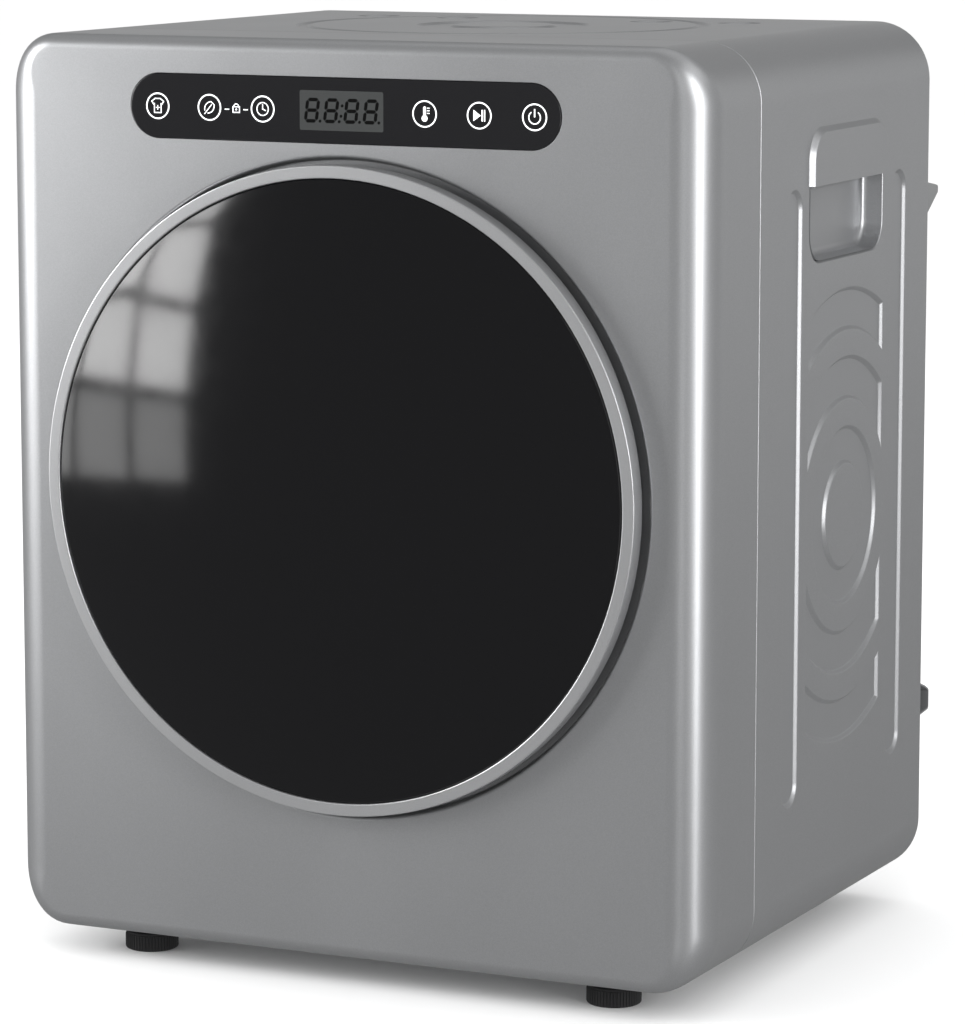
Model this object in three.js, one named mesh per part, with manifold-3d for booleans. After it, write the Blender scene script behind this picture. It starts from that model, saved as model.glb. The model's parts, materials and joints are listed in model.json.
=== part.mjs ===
// A compact vented clothes dryer. Millimetres, +Z up, +X to the viewer's right, front towards -Y.
// The front panel's flat face is the plane y = 0 while the pieces are made. The whole group is
// then moved along Y so that its origin is the centre of the footprint, on the floor.
import * as THREE from "three";
import { mergeVertices } from "three/addons/utils/BufferGeometryUtils.js";
import Module from "manifold-3d";

const wasm = await Module();
wasm.setup();

// ---- driving dimensions ------------------------------------------------------------------
const CLEARANCE = 0.3; // between two pieces that meet face to face
const LOOSE = 0.5; // around a piece that passes through a hole

const WIDTH = 489; // over the two flat sides
const DEPTH = 387; // front face to the cabinet's rear edge
const HEIGHT = 600; // floor to top
const FOOT_GAP = 19; // floor to the cabinet's underside
const CORNER_RADIUS = 38; // of the cabinet's outline seen from the front
const SHEET = 1.2; // sheet steel
const MOULDING = 2.5; // moulded plastic wall

const FRONT_DEPTH = 84; // front panel's face to the seam with the wrap
const SIDE_EDGE_RADIUS = 26; // rounding between the face and the sides
const TOP_EDGE_RADIUS = 9; // rounding between the face and the top or the underside

const DOOR_Z = HEIGHT / 2 + 19.8; // door and drum axis above the floor
const RING_RADIUS = 204;
const RING_FACE_WIDTH = 8;
const RING_PROUD = 15.4; // ring's front face in front of the panel
const RING_GAP = 2.4; // ring's outer wall to the panel
const GLASS_RISE = 26; // dome's height over its edge
const GLASS_THICKNESS = 3.5;
const RECESS_RADIUS = RING_RADIUS + 3; // dish behind the door
const RECESS_DEPTH = 8;
const OPENING_RADIUS = RING_RADIUS - 48; // loading opening
const PLUG_RADIUS = OPENING_RADIUS - 8; // part of the door that enters the opening
const PLUG_END = 46; // how far behind the panel's face the door reaches

const PILL_LENGTH = 297; // control panel
const PILL_HEIGHT = 40.2;
const PILL_Z = HEIGHT - 43.6;
const PILL_PROUD = 0.6;
const DISPLAY_WIDTH = 57.8;
const DISPLAY_HEIGHT = 24.7;

const PATTERN_Y = (FRONT_DEPTH + DEPTH) / 2; // centre of the pressed pattern on sides and top
const PATTERN_Z = HEIGHT / 2 - 12;
const PRESS_DEPTH = 2.4;
const PRESS_FLANK = 2.2; // slope of a pressing's walls, seen from above
const RING_PRESSING = [34, 58]; // inner and outer radius
const BAND_PRESSINGS = [
  [76, 103.5],
  [121, 148],
];
const BAND_HALF_WIDTH = 67; // where straight lines cut the bands off
const GROOVE_OFFSET = 94; // long grooves before and behind the pattern's centre
const GROOVE_WIDTH = 27;
const GROOVE_BOTTOM = 112.5;
const GROOVE_TOP = HEIGHT - 94.5;
const TOP_RINGS = [
  [34, 57],
  [128, 137],
];
const TOP_DIMPLE_RADIUS = 15;
const TOP_DIMPLES = [
  [72, PATTERN_Y + 80.5],
  [134, PATTERN_Y + 84.5],
];

const HANDLE_LENGTH = 130; // side handle: its pocket, and the raised pad above
const HANDLE_FRONT = PATTERN_Y - 67.5;
const HANDLE_LIP_Z = HEIGHT - 94;
const PAD_HEIGHT = 33;
const PAD_PROUD = 4;
const PAD_FLANK = 4;
const PAD_CORNER = 18;
const POCKET_HEIGHT = 48.5;
const POCKET_DEPTH = 14.5;
const POCKET_CORNER = 18;

const FOOT_RADIUS = 17.5;
const FOOT_X = WIDTH / 2 - 78.5;
const FOOT_INSET = 45; // from the front face and from the rear edge
const STUD_RADIUS = 4;
const STUD_TOP = 34;

const DRUM_RADIUS = 205;
const DRUM_FRONT = 78;
const DRUM_BACK = DEPTH - 53;
const MOUTH_RADIUS = OPENING_RADIUS + 8;
const LIFTER_HEIGHT = 42;
const LIFTER_BASE = 62;
const LIFTER_COUNT = 3;
const WELL_RADIUS = 73; // seat of the lint filter in the drum's back
const WELL_DEPTH = 13;
const DRUM_SHAFT_RADIUS = 8;

const BULKHEAD_Y = 66; // front bulkhead's front face
const REAR_BULKHEAD_Y = DEPTH - 45;
const REAR_PANEL_Y = DEPTH - 2.6;

const MOTOR_X = WIDTH / 2 - 104.5;
const MOTOR_Z = 80;
const MOTOR_RADIUS = 42;
const MOTOR_FRONT = 170;
const MOTOR_LENGTH = 92;
const MOTOR_SHAFT_RADIUS = 6;
const PULLEY_RADIUS = 9;
const BELT_Y = 126;
const BELT_WIDTH = 9;
const BELT_THICKNESS = 2.5;
const IDLER_RADIUS = 14;
const IDLER_PIVOT = [-20, 46]; // x, z
const BLOWER_RADIUS = 48;
const BLOWER_Y = DEPTH - 40;
const BLOWER_DEPTH = 32;
const BLADE_COUNT = 16;

const HOOD_LEFT = WIDTH / 2 - 112.5; // exhaust hood on the rear panel
const HOOD_RIGHT = WIDTH / 2 - 3.5;
const HOOD_BOTTOM = HEIGHT - 132;
const HOOD_REACH = 52;
const HOOD_WALL = 1.8;
const DUCT_LEFT = HOOD_LEFT + 18;
const DUCT_RIGHT = DUCT_LEFT + 44;

const HINGE_X = -(RING_RADIUS - 1);
const HINGE_Y = -6;
const KNUCKLE_RADIUS = 3;
const PIN_RADIUS = 1.5;
const KNUCKLE_HALF = 7.6; // door's knuckle, each way from its middle
const HINGE_HALF = 20; // cabinet's knuckles end here
const LATCH_X = RING_RADIUS - 17;
const SWITCH_X = RING_RADIUS - 21;
const SWITCH_DROP = 48; // below the door's axis

const FINE = 36; // facets of a large round
const COARSE = 16; // facets of a small round
const CORNER_STEPS = 5; // facets of the cabinet's corners
const FLAT_SHARE = Math.cos(Math.PI / FINE); // how near a large round's facets come to its axis

// ---- solids --------------------------------------------------------------------------------
const solidFrom = (vertices, triangles) => {
  const positions = new Float32Array(vertices.flat());
  const build = (tri) =>
    new wasm.Manifold(
      new wasm.Mesh({ numProp: 3, vertProperties: positions, triVerts: new Uint32Array(tri.flat()) }),
    );
  const made = build(triangles);
  return made.volume() < 0 ? build(triangles.map(([a, b, c]) => [a, c, b])) : made;
};

const solidOf = (geometry) => {
  const bare = geometry.clone();
  for (const name of Object.keys(bare.attributes)) {
    if (name !== "position") bare.deleteAttribute(name);
  }
  const merged = mergeVertices(bare, 1e-4);
  const p = merged.attributes.position;
  const vertices = Array.from({ length: p.count }, (_, i) => [p.getX(i), p.getY(i), p.getZ(i)]);
  const index = merged.index.array;
  const triangles = [];
  for (let i = 0; i < index.length; i += 3) {
    const [a, b, c] = index.slice(i, i + 3);
    if (a !== b && b !== c && a !== c) triangles.push([a, b, c]);
  }
  return solidFrom(vertices, triangles);
};

// A closed solid through loops of equally many points, each {flat: 2-D points, at: their 3-D places}.
const loft = (loops) => {
  const count = loops[0].at.length;
  const vertices = loops.flatMap((loop) => loop.at);
  const triangles = [];
  for (let k = 0; k + 1 < loops.length; k++) {
    for (let i = 0; i < count; i++) {
      const j = (i + 1) % count;
      const [a, b, c, d] = [k * count + i, k * count + j, (k + 1) * count + i, (k + 1) * count + j];
      triangles.push([a, b, d], [a, d, c]);
    }
  }
  const cap = (loop, first, turned) => {
    const contour = loop.flat.map(([u, v]) => new THREE.Vector2(u, v));
    const turns = (points) => THREE.ShapeUtils.area(points) < 0;
    for (const corners of THREE.ShapeUtils.triangulateShape(contour, [])) {
      const [a, b, c] = corners.map((i) => first + i);
      const against = turns(corners.map((i) => contour[i])) !== turns(contour);
      triangles.push(turned !== against ? [a, c, b] : [a, b, c]);
    }
  };
  cap(loops[0], 0, true);
  cap(loops.at(-1), (loops.length - 1) * count, false);
  return solidFrom(vertices, triangles);
};

// Ways to lay a flat outline (u, v) at a depth w into space.
const facing = ([u, v], w) => [u, w, v]; // seen from the front, w to the back
const onTop = ([u, v], w) => [u, v, HEIGHT - w]; // w down from the top
const onSide = (side) => ([u, v], w) => [side * (WIDTH / 2 - w), u, v]; // w in from a side
const across = ([u, v], w) => [w, u, v]; // w along X

const prism = (lay, outline, from, to) =>
  loft([from, to].map((w) => ({ flat: outline, at: outline.map((p) => lay(p, w)) })));
const taper = (lay, outlineFrom, from, outlineTo, to) =>
  loft([
    { flat: outlineFrom, at: outlineFrom.map((p) => lay(p, from)) },
    { flat: outlineTo, at: outlineTo.map((p) => lay(p, to)) },
  ]);
const box = (x, y, z) =>
  solidOf(
    new THREE.BoxGeometry(x[1] - x[0], y[1] - y[0], z[1] - z[0]).translate(
      (x[0] + x[1]) / 2,
      (y[0] + y[1]) / 2,
      (z[0] + z[1]) / 2,
    ),
  );

// A profile of [radius, place along the axis] points turned about a line along Y, X or Z.
const latheY = (profile, x, z, facets = FINE) =>
  solidOf(
    new THREE.LatheGeometry(profile.map(([r, y]) => new THREE.Vector2(r, y)), facets).translate(x, 0, z),
  );
const latheZ = (profile, x, y, facets = COARSE) =>
  solidOf(
    new THREE.LatheGeometry(profile.map(([r, z]) => new THREE.Vector2(r, z)), facets)
      .rotateX(Math.PI / 2)
      .translate(x, y, 0),
  );
const closed = (profile) => [...profile, profile[0]];
const rodY = (radius, y, x, z, facets = COARSE) =>
  latheY([[0, y[0]], [radius, y[0]], [radius, y[1]], [0, y[1]]], x, z, facets);
const rodZ = (radius, z, x, y, facets = COARSE) =>
  latheZ([[0, z[0]], [radius, z[0]], [radius, z[1]], [0, z[1]]], x, y, facets);
const ringY = (inner, outer, y, x, z, facets = FINE) =>
  latheY(closed([[inner, y[0]], [outer, y[0]], [outer, y[1]], [inner, y[1]]]), x, z, facets);

const join = (...solids) => solids.reduce((a, b) => a.add(b));
const cut = (solid, ...tools) => tools.reduce((a, b) => a.subtract(b), solid);

// ---- outlines ------------------------------------------------------------------------------
const arc = (u, v, radius, from, to, steps) =>
  Array.from({ length: steps + 1 }, (_, i) => {
    const angle = from + ((to - from) * i) / steps;
    return [u + radius * Math.cos(angle), v + radius * Math.sin(angle)];
  });

const QUARTER = Math.PI / 2;
const withoutRepeats = (points) =>
  points.filter(([u, v], i) => {
    const [a, b] = points[(i + 1) % points.length];
    return Math.hypot(u - a, v - b) > 1e-6;
  });
// Anticlockwise from the lower right; radii are lower right, upper right, upper left, lower left.
const roundedRect = (u0, v0, u1, v1, radii, steps = 6) => {
  const centres = [[u1, v0], [u1, v1], [u0, v1], [u0, v0]];
  const inward = [[-1, 1], [-1, -1], [1, -1], [1, 1]];
  const points = centres.flatMap(([u, v], i) => {
    const r = radii[i];
    const [du, dv] = inward[i];
    const from = (i - 1) * QUARTER;
    return r > 0 ? arc(u + du * r, v + dv * r, r, from, from + QUARTER, steps) : [[u, v]];
  });
  return withoutRepeats(points);
};
const evenRect = (u0, v0, u1, v1, radius, steps) =>
  roundedRect(u0, v0, u1, v1, [radius, radius, radius, radius], steps);
const circle = (u, v, radius, steps) => arc(u, v, radius, 0, 4 * QUARTER, steps).slice(0, -1);

const cabinetOutline = (inset) =>
  evenRect(
    -WIDTH / 2 + inset,
    FOOT_GAP + inset,
    WIDTH / 2 - inset,
    HEIGHT - inset,
    CORNER_RADIUS - inset,
    CORNER_STEPS,
  );
const pillOutline = (grow) =>
  evenRect(
    -PILL_LENGTH / 2 - grow,
    PILL_Z - PILL_HEIGHT / 2 - grow,
    PILL_LENGTH / 2 + grow,
    PILL_Z + PILL_HEIGHT / 2 + grow,
    PILL_HEIGHT / 2 + grow,
    10,
  );
const displayOutline = (grow) =>
  evenRect(
    -DISPLAY_WIDTH / 2 - grow,
    PILL_Z - DISPLAY_HEIGHT / 2 - grow,
    DISPLAY_WIDTH / 2 + grow,
    PILL_Z + DISPLAY_HEIGHT / 2 + grow,
    1 + grow,
    2,
  );
const pocketOutline = (inset) =>
  roundedRect(
    HANDLE_FRONT + inset,
    HANDLE_LIP_Z - POCKET_HEIGHT + inset,
    HANDLE_FRONT + HANDLE_LENGTH - inset,
    HANDLE_LIP_Z - inset,
    [POCKET_CORNER - inset, 0, 0, POCKET_CORNER - inset],
  );
// The pad's lower edge is the lip, so it grows only forwards, backwards and up.
const padOutline = (grow, lower = 0) =>
  roundedRect(
    HANDLE_FRONT - grow,
    HANDLE_LIP_Z - lower,
    HANDLE_FRONT + HANDLE_LENGTH + grow,
    HANDLE_LIP_Z + PAD_HEIGHT + grow,
    [0, PAD_CORNER + grow, PAD_CORNER + grow, 0],
  );

// ---- pressed pattern -----------------------------------------------------------------------
// Each pressing is an outline that can grow. Its walls slope, and its back keeps the sheet's thickness.
const bandHalf = ([inner, outer], u, v, upward) => (grow) => {
  const half = BAND_HALF_WIDTH + grow;
  const [low, high] = [inner - grow, outer + grow];
  const edge = (radius) => (half < radius ? Math.acos(half / radius) : 0.02);
  const points = [
    ...arc(0, 0, high, edge(high), Math.PI - edge(high), 5),
    ...arc(0, 0, low, Math.PI - edge(low), edge(low), 5),
  ];
  return points.map(([a, b]) => [u + a, v + (upward ? b : -b)]);
};
const groove = (u) => (grow) =>
  evenRect(
    u - GROOVE_WIDTH / 2 - grow,
    GROOVE_BOTTOM - grow,
    u + GROOVE_WIDTH / 2 + grow,
    GROOVE_TOP + grow,
    GROOVE_WIDTH / 2 + grow,
    3,
  );
const roundPressing = (u, v, radius, steps) => (grow) => circle(u, v, radius + grow, steps);

const pressed = (lay, outline) => ({
  boss: taper(lay, outline(SHEET), SHEET / 2, outline(SHEET - PRESS_FLANK), PRESS_DEPTH + SHEET),
  hollow: taper(lay, outline(0), 0, outline(-PRESS_FLANK), PRESS_DEPTH),
});
const ringPressing = (lay, u, v, [inner, outer], steps) => {
  const whole = pressed(lay, roundPressing(u, v, outer, steps));
  return {
    boss: cut(
      whole.boss,
      taper(
        lay,
        circle(u, v, inner - SHEET, steps),
        SHEET,
        circle(u, v, inner - SHEET + PRESS_FLANK, steps),
        PRESS_DEPTH + SHEET + 1,
      ),
    ),
    hollow: cut(
      whole.hollow,
      taper(lay, circle(u, v, inner, steps), -1, circle(u, v, inner + PRESS_FLANK, steps), PRESS_DEPTH + 1),
    ),
  };
};
const sidePressings = (lay, u, v) => {
  const bands = BAND_PRESSINGS.flatMap((radii) =>
    [true, false].map((upward) => pressed(lay, bandHalf(radii, u, v, upward))),
  );
  const grooves = [-GROOVE_OFFSET, GROOVE_OFFSET].map((offset) => pressed(lay, groove(u + offset)));
  return [ringPressing(lay, u, v, RING_PRESSING, 20), ...bands, ...grooves];
};
const topPressings = () => [
  ...TOP_RINGS.map((radii, i) => ringPressing(onTop, 0, PATTERN_Y, radii, 20 + 6 * i)),
  ...TOP_DIMPLES.flatMap(([x, y]) =>
    [-x, x].map((u) => pressed(onTop, roundPressing(u, y, TOP_DIMPLE_RADIUS, 10))),
  ),
];
const press = (solid, list) =>
  cut(join(solid, ...list.map((p) => p.boss)), ...list.map((p) => p.hollow));

// ---- cabinet -------------------------------------------------------------------------------
// Loops of the front panel's rounded edge: the rounding's radius blends from the sides to the top.
const frontLoops = (inset) => {
  const outline = cabinetOutline(inset);
  const normals = [0, 1, 2, 3].flatMap((corner) =>
    Array.from({ length: CORNER_STEPS + 1 }, (_, i) => (corner - 1 + i / CORNER_STEPS) * QUARTER),
  );
  const loop = (place) => {
    const at = outline.map((p, i) => place(p, normals[i]));
    return { flat: at.map(([x, , z]) => [x, z]), at };
  };
  const rounding = (turn) => ([u, v], normal) => {
    const share = Math.cos(normal) ** 2;
    const radius = TOP_EDGE_RADIUS + (SIDE_EDGE_RADIUS - TOP_EDGE_RADIUS) * share - inset;
    const back = radius * (1 - Math.cos(turn));
    return [u - back * Math.cos(normal), inset + radius * (1 - Math.sin(turn)), v - back * Math.sin(normal)];
  };
  const turns = [0, 1, 2, 3, 4].map((i) => (i * QUARTER) / 4);
  const seam = loop(([u, v]) => [u, FRONT_DEPTH + (inset > 0 ? 1 : 0), v]);
  return [seam, ...turns.map((turn) => loop(rounding(turn)))];
};

const intakeSlots = [-2, -1, 0, 1, 2].map((i) =>
  box([i * 16 - 4, i * 16 + 4], [20, 56], [FOOT_GAP - 1, FOOT_GAP + 8]),
);
const footPlaces = [
  ["front_left", -FOOT_X, FOOT_INSET],
  ["front_right", FOOT_X, FOOT_INSET],
  ["rear_left", -FOOT_X, DEPTH - FOOT_INSET],
  ["rear_right", FOOT_X, DEPTH - FOOT_INSET],
];
const studHoles = footPlaces.map(([, x, y]) =>
  rodZ(STUD_RADIUS + LOOSE, [FOOT_GAP - 1, FOOT_GAP + 8], x, y),
);

const hingeSlot = (sign) =>
  box(
    [HINGE_X - 2, HINGE_X + 2],
    [0, RECESS_DEPTH + MOULDING + 1],
    [sign * KNUCKLE_HALF, sign * (HINGE_HALF + LOOSE)].sort((a, b) => a - b).map((z) => DOOR_Z + z),
  );

const frontPanel = () => {
  const hollow = cut(
    loft(frontLoops(MOULDING)),
    rodY(RECESS_RADIUS + MOULDING, [0, RECESS_DEPTH + MOULDING], 0, DOOR_Z, FINE),
  );
  return cut(
    loft(frontLoops(0)),
    hollow,
    rodY(RECESS_RADIUS, [-1, RECESS_DEPTH], 0, DOOR_Z, FINE),
    rodY(OPENING_RADIUS, [-1, RECESS_DEPTH + MOULDING + 1], 0, DOOR_Z, FINE),
    prism(facing, pillOutline(0.4), -1, MOULDING + 1),
    box([LATCH_X - 7, LATCH_X + 9.5], [0, RECESS_DEPTH + 4], [DOOR_Z - 8, DOOR_Z + 8]),
    rodY(PLUNGER_RADIUS + LOOSE, [0, RECESS_DEPTH + 4], SWITCH_X, DOOR_Z - SWITCH_DROP),
    hingeSlot(1),
    hingeSlot(-1),
    ...intakeSlots,
    ...studHoles,
  );
};

const RETURN_EDGE = WIDTH / 2 - 54.5; // the wrap turns in under the cabinet this far
const cabinetWrap = () => {
  const front = FRONT_DEPTH + CLEARANCE;
  const tube = cut(
    prism(facing, cabinetOutline(0), front, DEPTH),
    prism(facing, cabinetOutline(SHEET), front - 1, DEPTH + 1),
    box([-RETURN_EDGE, RETURN_EDGE], [front - 1, DEPTH + 1], [0, FOOT_GAP + SHEET + 1]),
  );
  const side = (sign) => sidePressings(onSide(sign), PATTERN_Y, PATTERN_Z);
  const withPad = (sheet, sign) => {
    const lay = onSide(sign);
    const pad = taper(lay, padOutline(PAD_FLANK), SHEET / 2, padOutline(0), -PAD_PROUD);
    const behind = taper(
      lay,
      padOutline(PAD_FLANK - SHEET, 3),
      SHEET + 1,
      padOutline(-SHEET, 3),
      SHEET - PAD_PROUD,
    );
    return cut(sheet.add(pad), behind, prism(lay, pocketOutline(0), -PAD_PROUD - 1, SHEET + 1));
  };
  return [1, -1].reduce(withPad, press(tube, [...side(1), ...side(-1), ...topPressings()]));
};

const handleCup = (sign) =>
  cut(
    prism(onSide(sign), pocketOutline(CLEARANCE), 0, POCKET_DEPTH + SHEET),
    prism(onSide(sign), pocketOutline(CLEARANCE + SHEET), -1, POCKET_DEPTH),
  );

const PAN_HALF = WIDTH / 2 - CORNER_RADIUS;
const PAN_Z = FOOT_GAP + MOULDING + LOOSE;
const basePan = () =>
  cut(
    box([-PAN_HALF, PAN_HALF], [12, DEPTH - 5], [PAN_Z, PAN_Z + 14]),
    box(
      [-PAN_HALF + SHEET, PAN_HALF - SHEET],
      [12 + SHEET, DEPTH - 5 - SHEET],
      [PAN_Z + SHEET, PAN_Z + 20],
    ),
    ...intakeSlots,
    ...studHoles,
  );

const bulkheadOutline = cabinetOutline(MOULDING + 1);
const CUFF_RADIUS = OPENING_RADIUS + 4;
const frontBulkhead = () =>
  join(
    cut(
      prism(facing, bulkheadOutline, BULKHEAD_Y, BULKHEAD_Y + SHEET),
      rodY(CUFF_RADIUS - SHEET, [BULKHEAD_Y - 1, BULKHEAD_Y + 3], 0, DOOR_Z, FINE),
      box([-WIDTH, WIDTH], [BULKHEAD_Y - 1, BULKHEAD_Y + 3], [0, PAN_Z + 14 + LOOSE]),
    ),
    ringY(CUFF_RADIUS - SHEET, CUFF_RADIUS, [BULKHEAD_Y, 90], 0, DOOR_Z),
  );
const openingCollar = () =>
  cut(
    ringY(
      OPENING_RADIUS + 0.5,
      OPENING_RADIUS + 2.5,
      [RECESS_DEPTH + MOULDING + CLEARANCE, BULKHEAD_Y - CLEARANCE],
      0,
      DOOR_Z,
    ),
    ...[-1, 0, 1].map((i) =>
      box([i * 24 - 8, i * 24 + 8], [24, 52], [DOOR_Z - OPENING_RADIUS - 6, DOOR_Z - OPENING_RADIUS + 8]),
    ),
  );
const drumFrontSeal = () =>
  ringY(CUFF_RADIUS + CLEARANCE, MOUTH_RADIUS - CLEARANCE, [72, 86], 0, DOOR_Z);
const rearBulkhead = () =>
  cut(
    prism(facing, cabinetOutline(SHEET + PRESS_DEPTH + 2), REAR_BULKHEAD_Y, REAR_BULKHEAD_Y + SHEET),
    rodY(WELL_RADIUS + 6, [REAR_BULKHEAD_Y - 1, REAR_BULKHEAD_Y + 3], 0, DOOR_Z, FINE),
    rodY(MOTOR_SHAFT_RADIUS + 2, [REAR_BULKHEAD_Y - 1, REAR_BULKHEAD_Y + 3], MOTOR_X, MOTOR_Z),
    box([-WIDTH, WIDTH], [REAR_BULKHEAD_Y - 1, REAR_BULKHEAD_Y + 3], [0, PAN_Z + 14 + LOOSE]),
  );
const drumRearSeal = () =>
  ringY(
    DRUM_RADIUS - 15,
    DRUM_RADIUS - 7,
    [DRUM_BACK + SHEET + CLEARANCE, REAR_BULKHEAD_Y - CLEARANCE],
    0,
    DOOR_Z,
  );

const GLAND_X = -200;
const GLAND_Z = 62;
const GLAND_RADIUS = 9;
const rearPanel = () =>
  cut(
    prism(facing, cabinetOutline(SHEET + CLEARANCE), REAR_PANEL_Y, REAR_PANEL_Y + SHEET),
    box(
      [HOOD_LEFT + 10, HOOD_RIGHT - 10],
      [REAR_PANEL_Y - 1, DEPTH],
      [HOOD_BOTTOM + 2, HOOD_BOTTOM + 28],
    ),
    rodY(GLAND_RADIUS + LOOSE, [REAR_PANEL_Y - 1, DEPTH], GLAND_X, GLAND_Z),
  );

// The hood leans out from the rear panel and opens upwards; its rim is cut along a slope.
const exhaustHood = () => {
  const base = REAR_PANEL_Y + SHEET + CLEARANCE;
  const plan = (reach, inset) =>
    roundedRect(
      HOOD_LEFT + inset,
      base - (inset > 0 ? 1 : 0),
      HOOD_RIGHT - inset,
      base + reach - inset,
      [0, Math.min(30, reach / 2), Math.min(30, reach / 2), 0],
      6,
    );
  const level = (outline, z) => ({ flat: outline, at: outline.map(([u, v]) => [u, v, z]) });
  const shell = (inset, lift) =>
    loft([
      level(plan(8, inset), HOOD_BOTTOM + lift),
      level(plan(HOOD_REACH, inset), HOOD_BOTTOM + 26 + lift),
      level(plan(HOOD_REACH, inset), HOOD_BOTTOM + 60 + lift),
    ]);
  const rimCut = (outline) => prism(across, outline, HOOD_LEFT - 5, HOOD_RIGHT + 5);
  const slope = rimCut([
    [base - 5, HOOD_BOTTOM + 33],
    [base + HOOD_REACH + 5, HOOD_BOTTOM + 36],
    [base + HOOD_REACH + 5, HOOD_BOTTOM + 90],
    [base - 5, HOOD_BOTTOM + 90],
  ]);
  return cut(shell(0, 0), shell(HOOD_WALL, HOOD_WALL), slope);
};

// Bent sheet along the rear that keeps the cabinet off the wall. Its ends are open.
const rearSpacer = () => {
  const base = REAR_PANEL_Y + SHEET + CLEARANCE;
  const outer = [
    [base, 152],
    [DEPTH + 18, 145.5],
    [DEPTH + 26, 141.8],
    [DEPTH + 26, 128],
    [base, 125.5],
  ];
  const inner = [
    [base, 125.5 + SHEET],
    [DEPTH + 26 - SHEET, 128 + SHEET],
    [DEPTH + 26 - SHEET, 141.8 - SHEET],
    [DEPTH + 18, 145.5 - SHEET],
    [base, 152 - SHEET],
  ];
  return prism(across, [...outer, ...inner], -HOOD_RIGHT, HOOD_RIGHT);
};

const cordGland = () =>
  latheY(
    closed([
      [4, REAR_PANEL_Y - 8],
      [GLAND_RADIUS, REAR_PANEL_Y - 8],
      [GLAND_RADIUS, REAR_PANEL_Y + SHEET + CLEARANCE],
      [GLAND_RADIUS + 4, REAR_PANEL_Y + SHEET + CLEARANCE],
      [GLAND_RADIUS + 4, REAR_PANEL_Y + 5],
      [GLAND_RADIUS - 2, REAR_PANEL_Y + 14],
      [4, REAR_PANEL_Y + 14],
    ]),
    GLAND_X,
    GLAND_Z,
    COARSE,
  );

const foot = (x, y) =>
  latheZ(
    [
      [0, 0],
      [FOOT_RADIUS - 1, 0],
      [FOOT_RADIUS, 1],
      [FOOT_RADIUS, 10],
      [FOOT_RADIUS - 1.5, 11.5],
      [11, 12.5],
      [11, FOOT_GAP - LOOSE],
      [STUD_RADIUS, FOOT_GAP - LOOSE],
      [STUD_RADIUS, STUD_TOP],
      [0, STUD_TOP],
    ],
    x,
    y,
  );

// ---- controls ------------------------------------------------------------------------------
const controlFascia = () =>
  cut(
    join(
      prism(facing, pillOutline(0), -PILL_PROUD, MOULDING + CLEARANCE + 0.1),
      prism(facing, pillOutline(4), MOULDING + CLEARANCE, MOULDING + 2),
    ),
    prism(facing, displayOutline(CLEARANCE), -2, MOULDING + 3),
  );
const displayModule = () => prism(facing, displayOutline(0), 0.2 - PILL_PROUD, 11);
const controlBoard = () => box([-136, 136], [11.5, 13.1], [PILL_Z - 17, PILL_Z + 17]);
const powerBoard = () => box([-196, -112], [104, 184], [PAN_Z + SHEET + CLEARANCE, 62]);

// ---- door ----------------------------------------------------------------------------------
const GLASS_EDGE = RING_RADIUS - RING_FACE_WIDTH - CLEARANCE;
const GLASS_FRONT = RING_PROUD - 1; // glass edge in front of the panel
const FLANGE_Y = -9;
const FLANGE_RADIUS = RING_RADIUS - 24; // inner edge of the ring's flange
const SEAL_RADII = [RING_RADIUS - 38, RING_RADIUS - 29];
const doorNotch = () =>
  box([HINGE_X - 5, HINGE_X + 10], [HINGE_Y - 4.4, 1], [DOOR_Z - HINGE_HALF - 3, DOOR_Z + HINGE_HALF + 3]);

const doorRing = () =>
  cut(
    latheY(
      closed([
        [GLASS_EDGE + CLEARANCE, -RING_PROUD + 0.8],
        [GLASS_EDGE + CLEARANCE + 0.8, -RING_PROUD],
        [RING_RADIUS - 1.2, -RING_PROUD],
        [RING_RADIUS, -RING_PROUD + 1.2],
        [RING_RADIUS, -RING_GAP],
        [RING_RADIUS - MOULDING, -RING_GAP],
        [RING_RADIUS - MOULDING, FLANGE_Y + 2],
        [FLANGE_RADIUS, FLANGE_Y + 2],
        [FLANGE_RADIUS, FLANGE_Y],
        [GLASS_EDGE + CLEARANCE, FLANGE_Y],
      ]),
      0,
      DOOR_Z,
      FINE,
    ),
    doorNotch(),
  );

const domeRadius = (GLASS_EDGE ** 2 + GLASS_RISE ** 2) / (2 * GLASS_RISE);
const dome = (reach, offset, steps) => {
  const apex = -GLASS_FRONT - GLASS_RISE;
  return Array.from({ length: steps + 1 }, (_, i) => {
    const radius = (reach * i) / steps;
    return [radius, apex + offset + domeRadius - Math.sqrt(domeRadius ** 2 - radius ** 2)];
  });
};
const doorGlass = () =>
  latheY(
    [
      ...dome(GLASS_EDGE, 0, 6),
      [GLASS_EDGE, FLANGE_Y - CLEARANCE],
      [GLASS_EDGE - 8, FLANGE_Y - CLEARANCE],
      ...dome(GLASS_EDGE - 10, GLASS_THICKNESS, 4).reverse(),
    ],
    0,
    DOOR_Z,
    FINE,
  );

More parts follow.
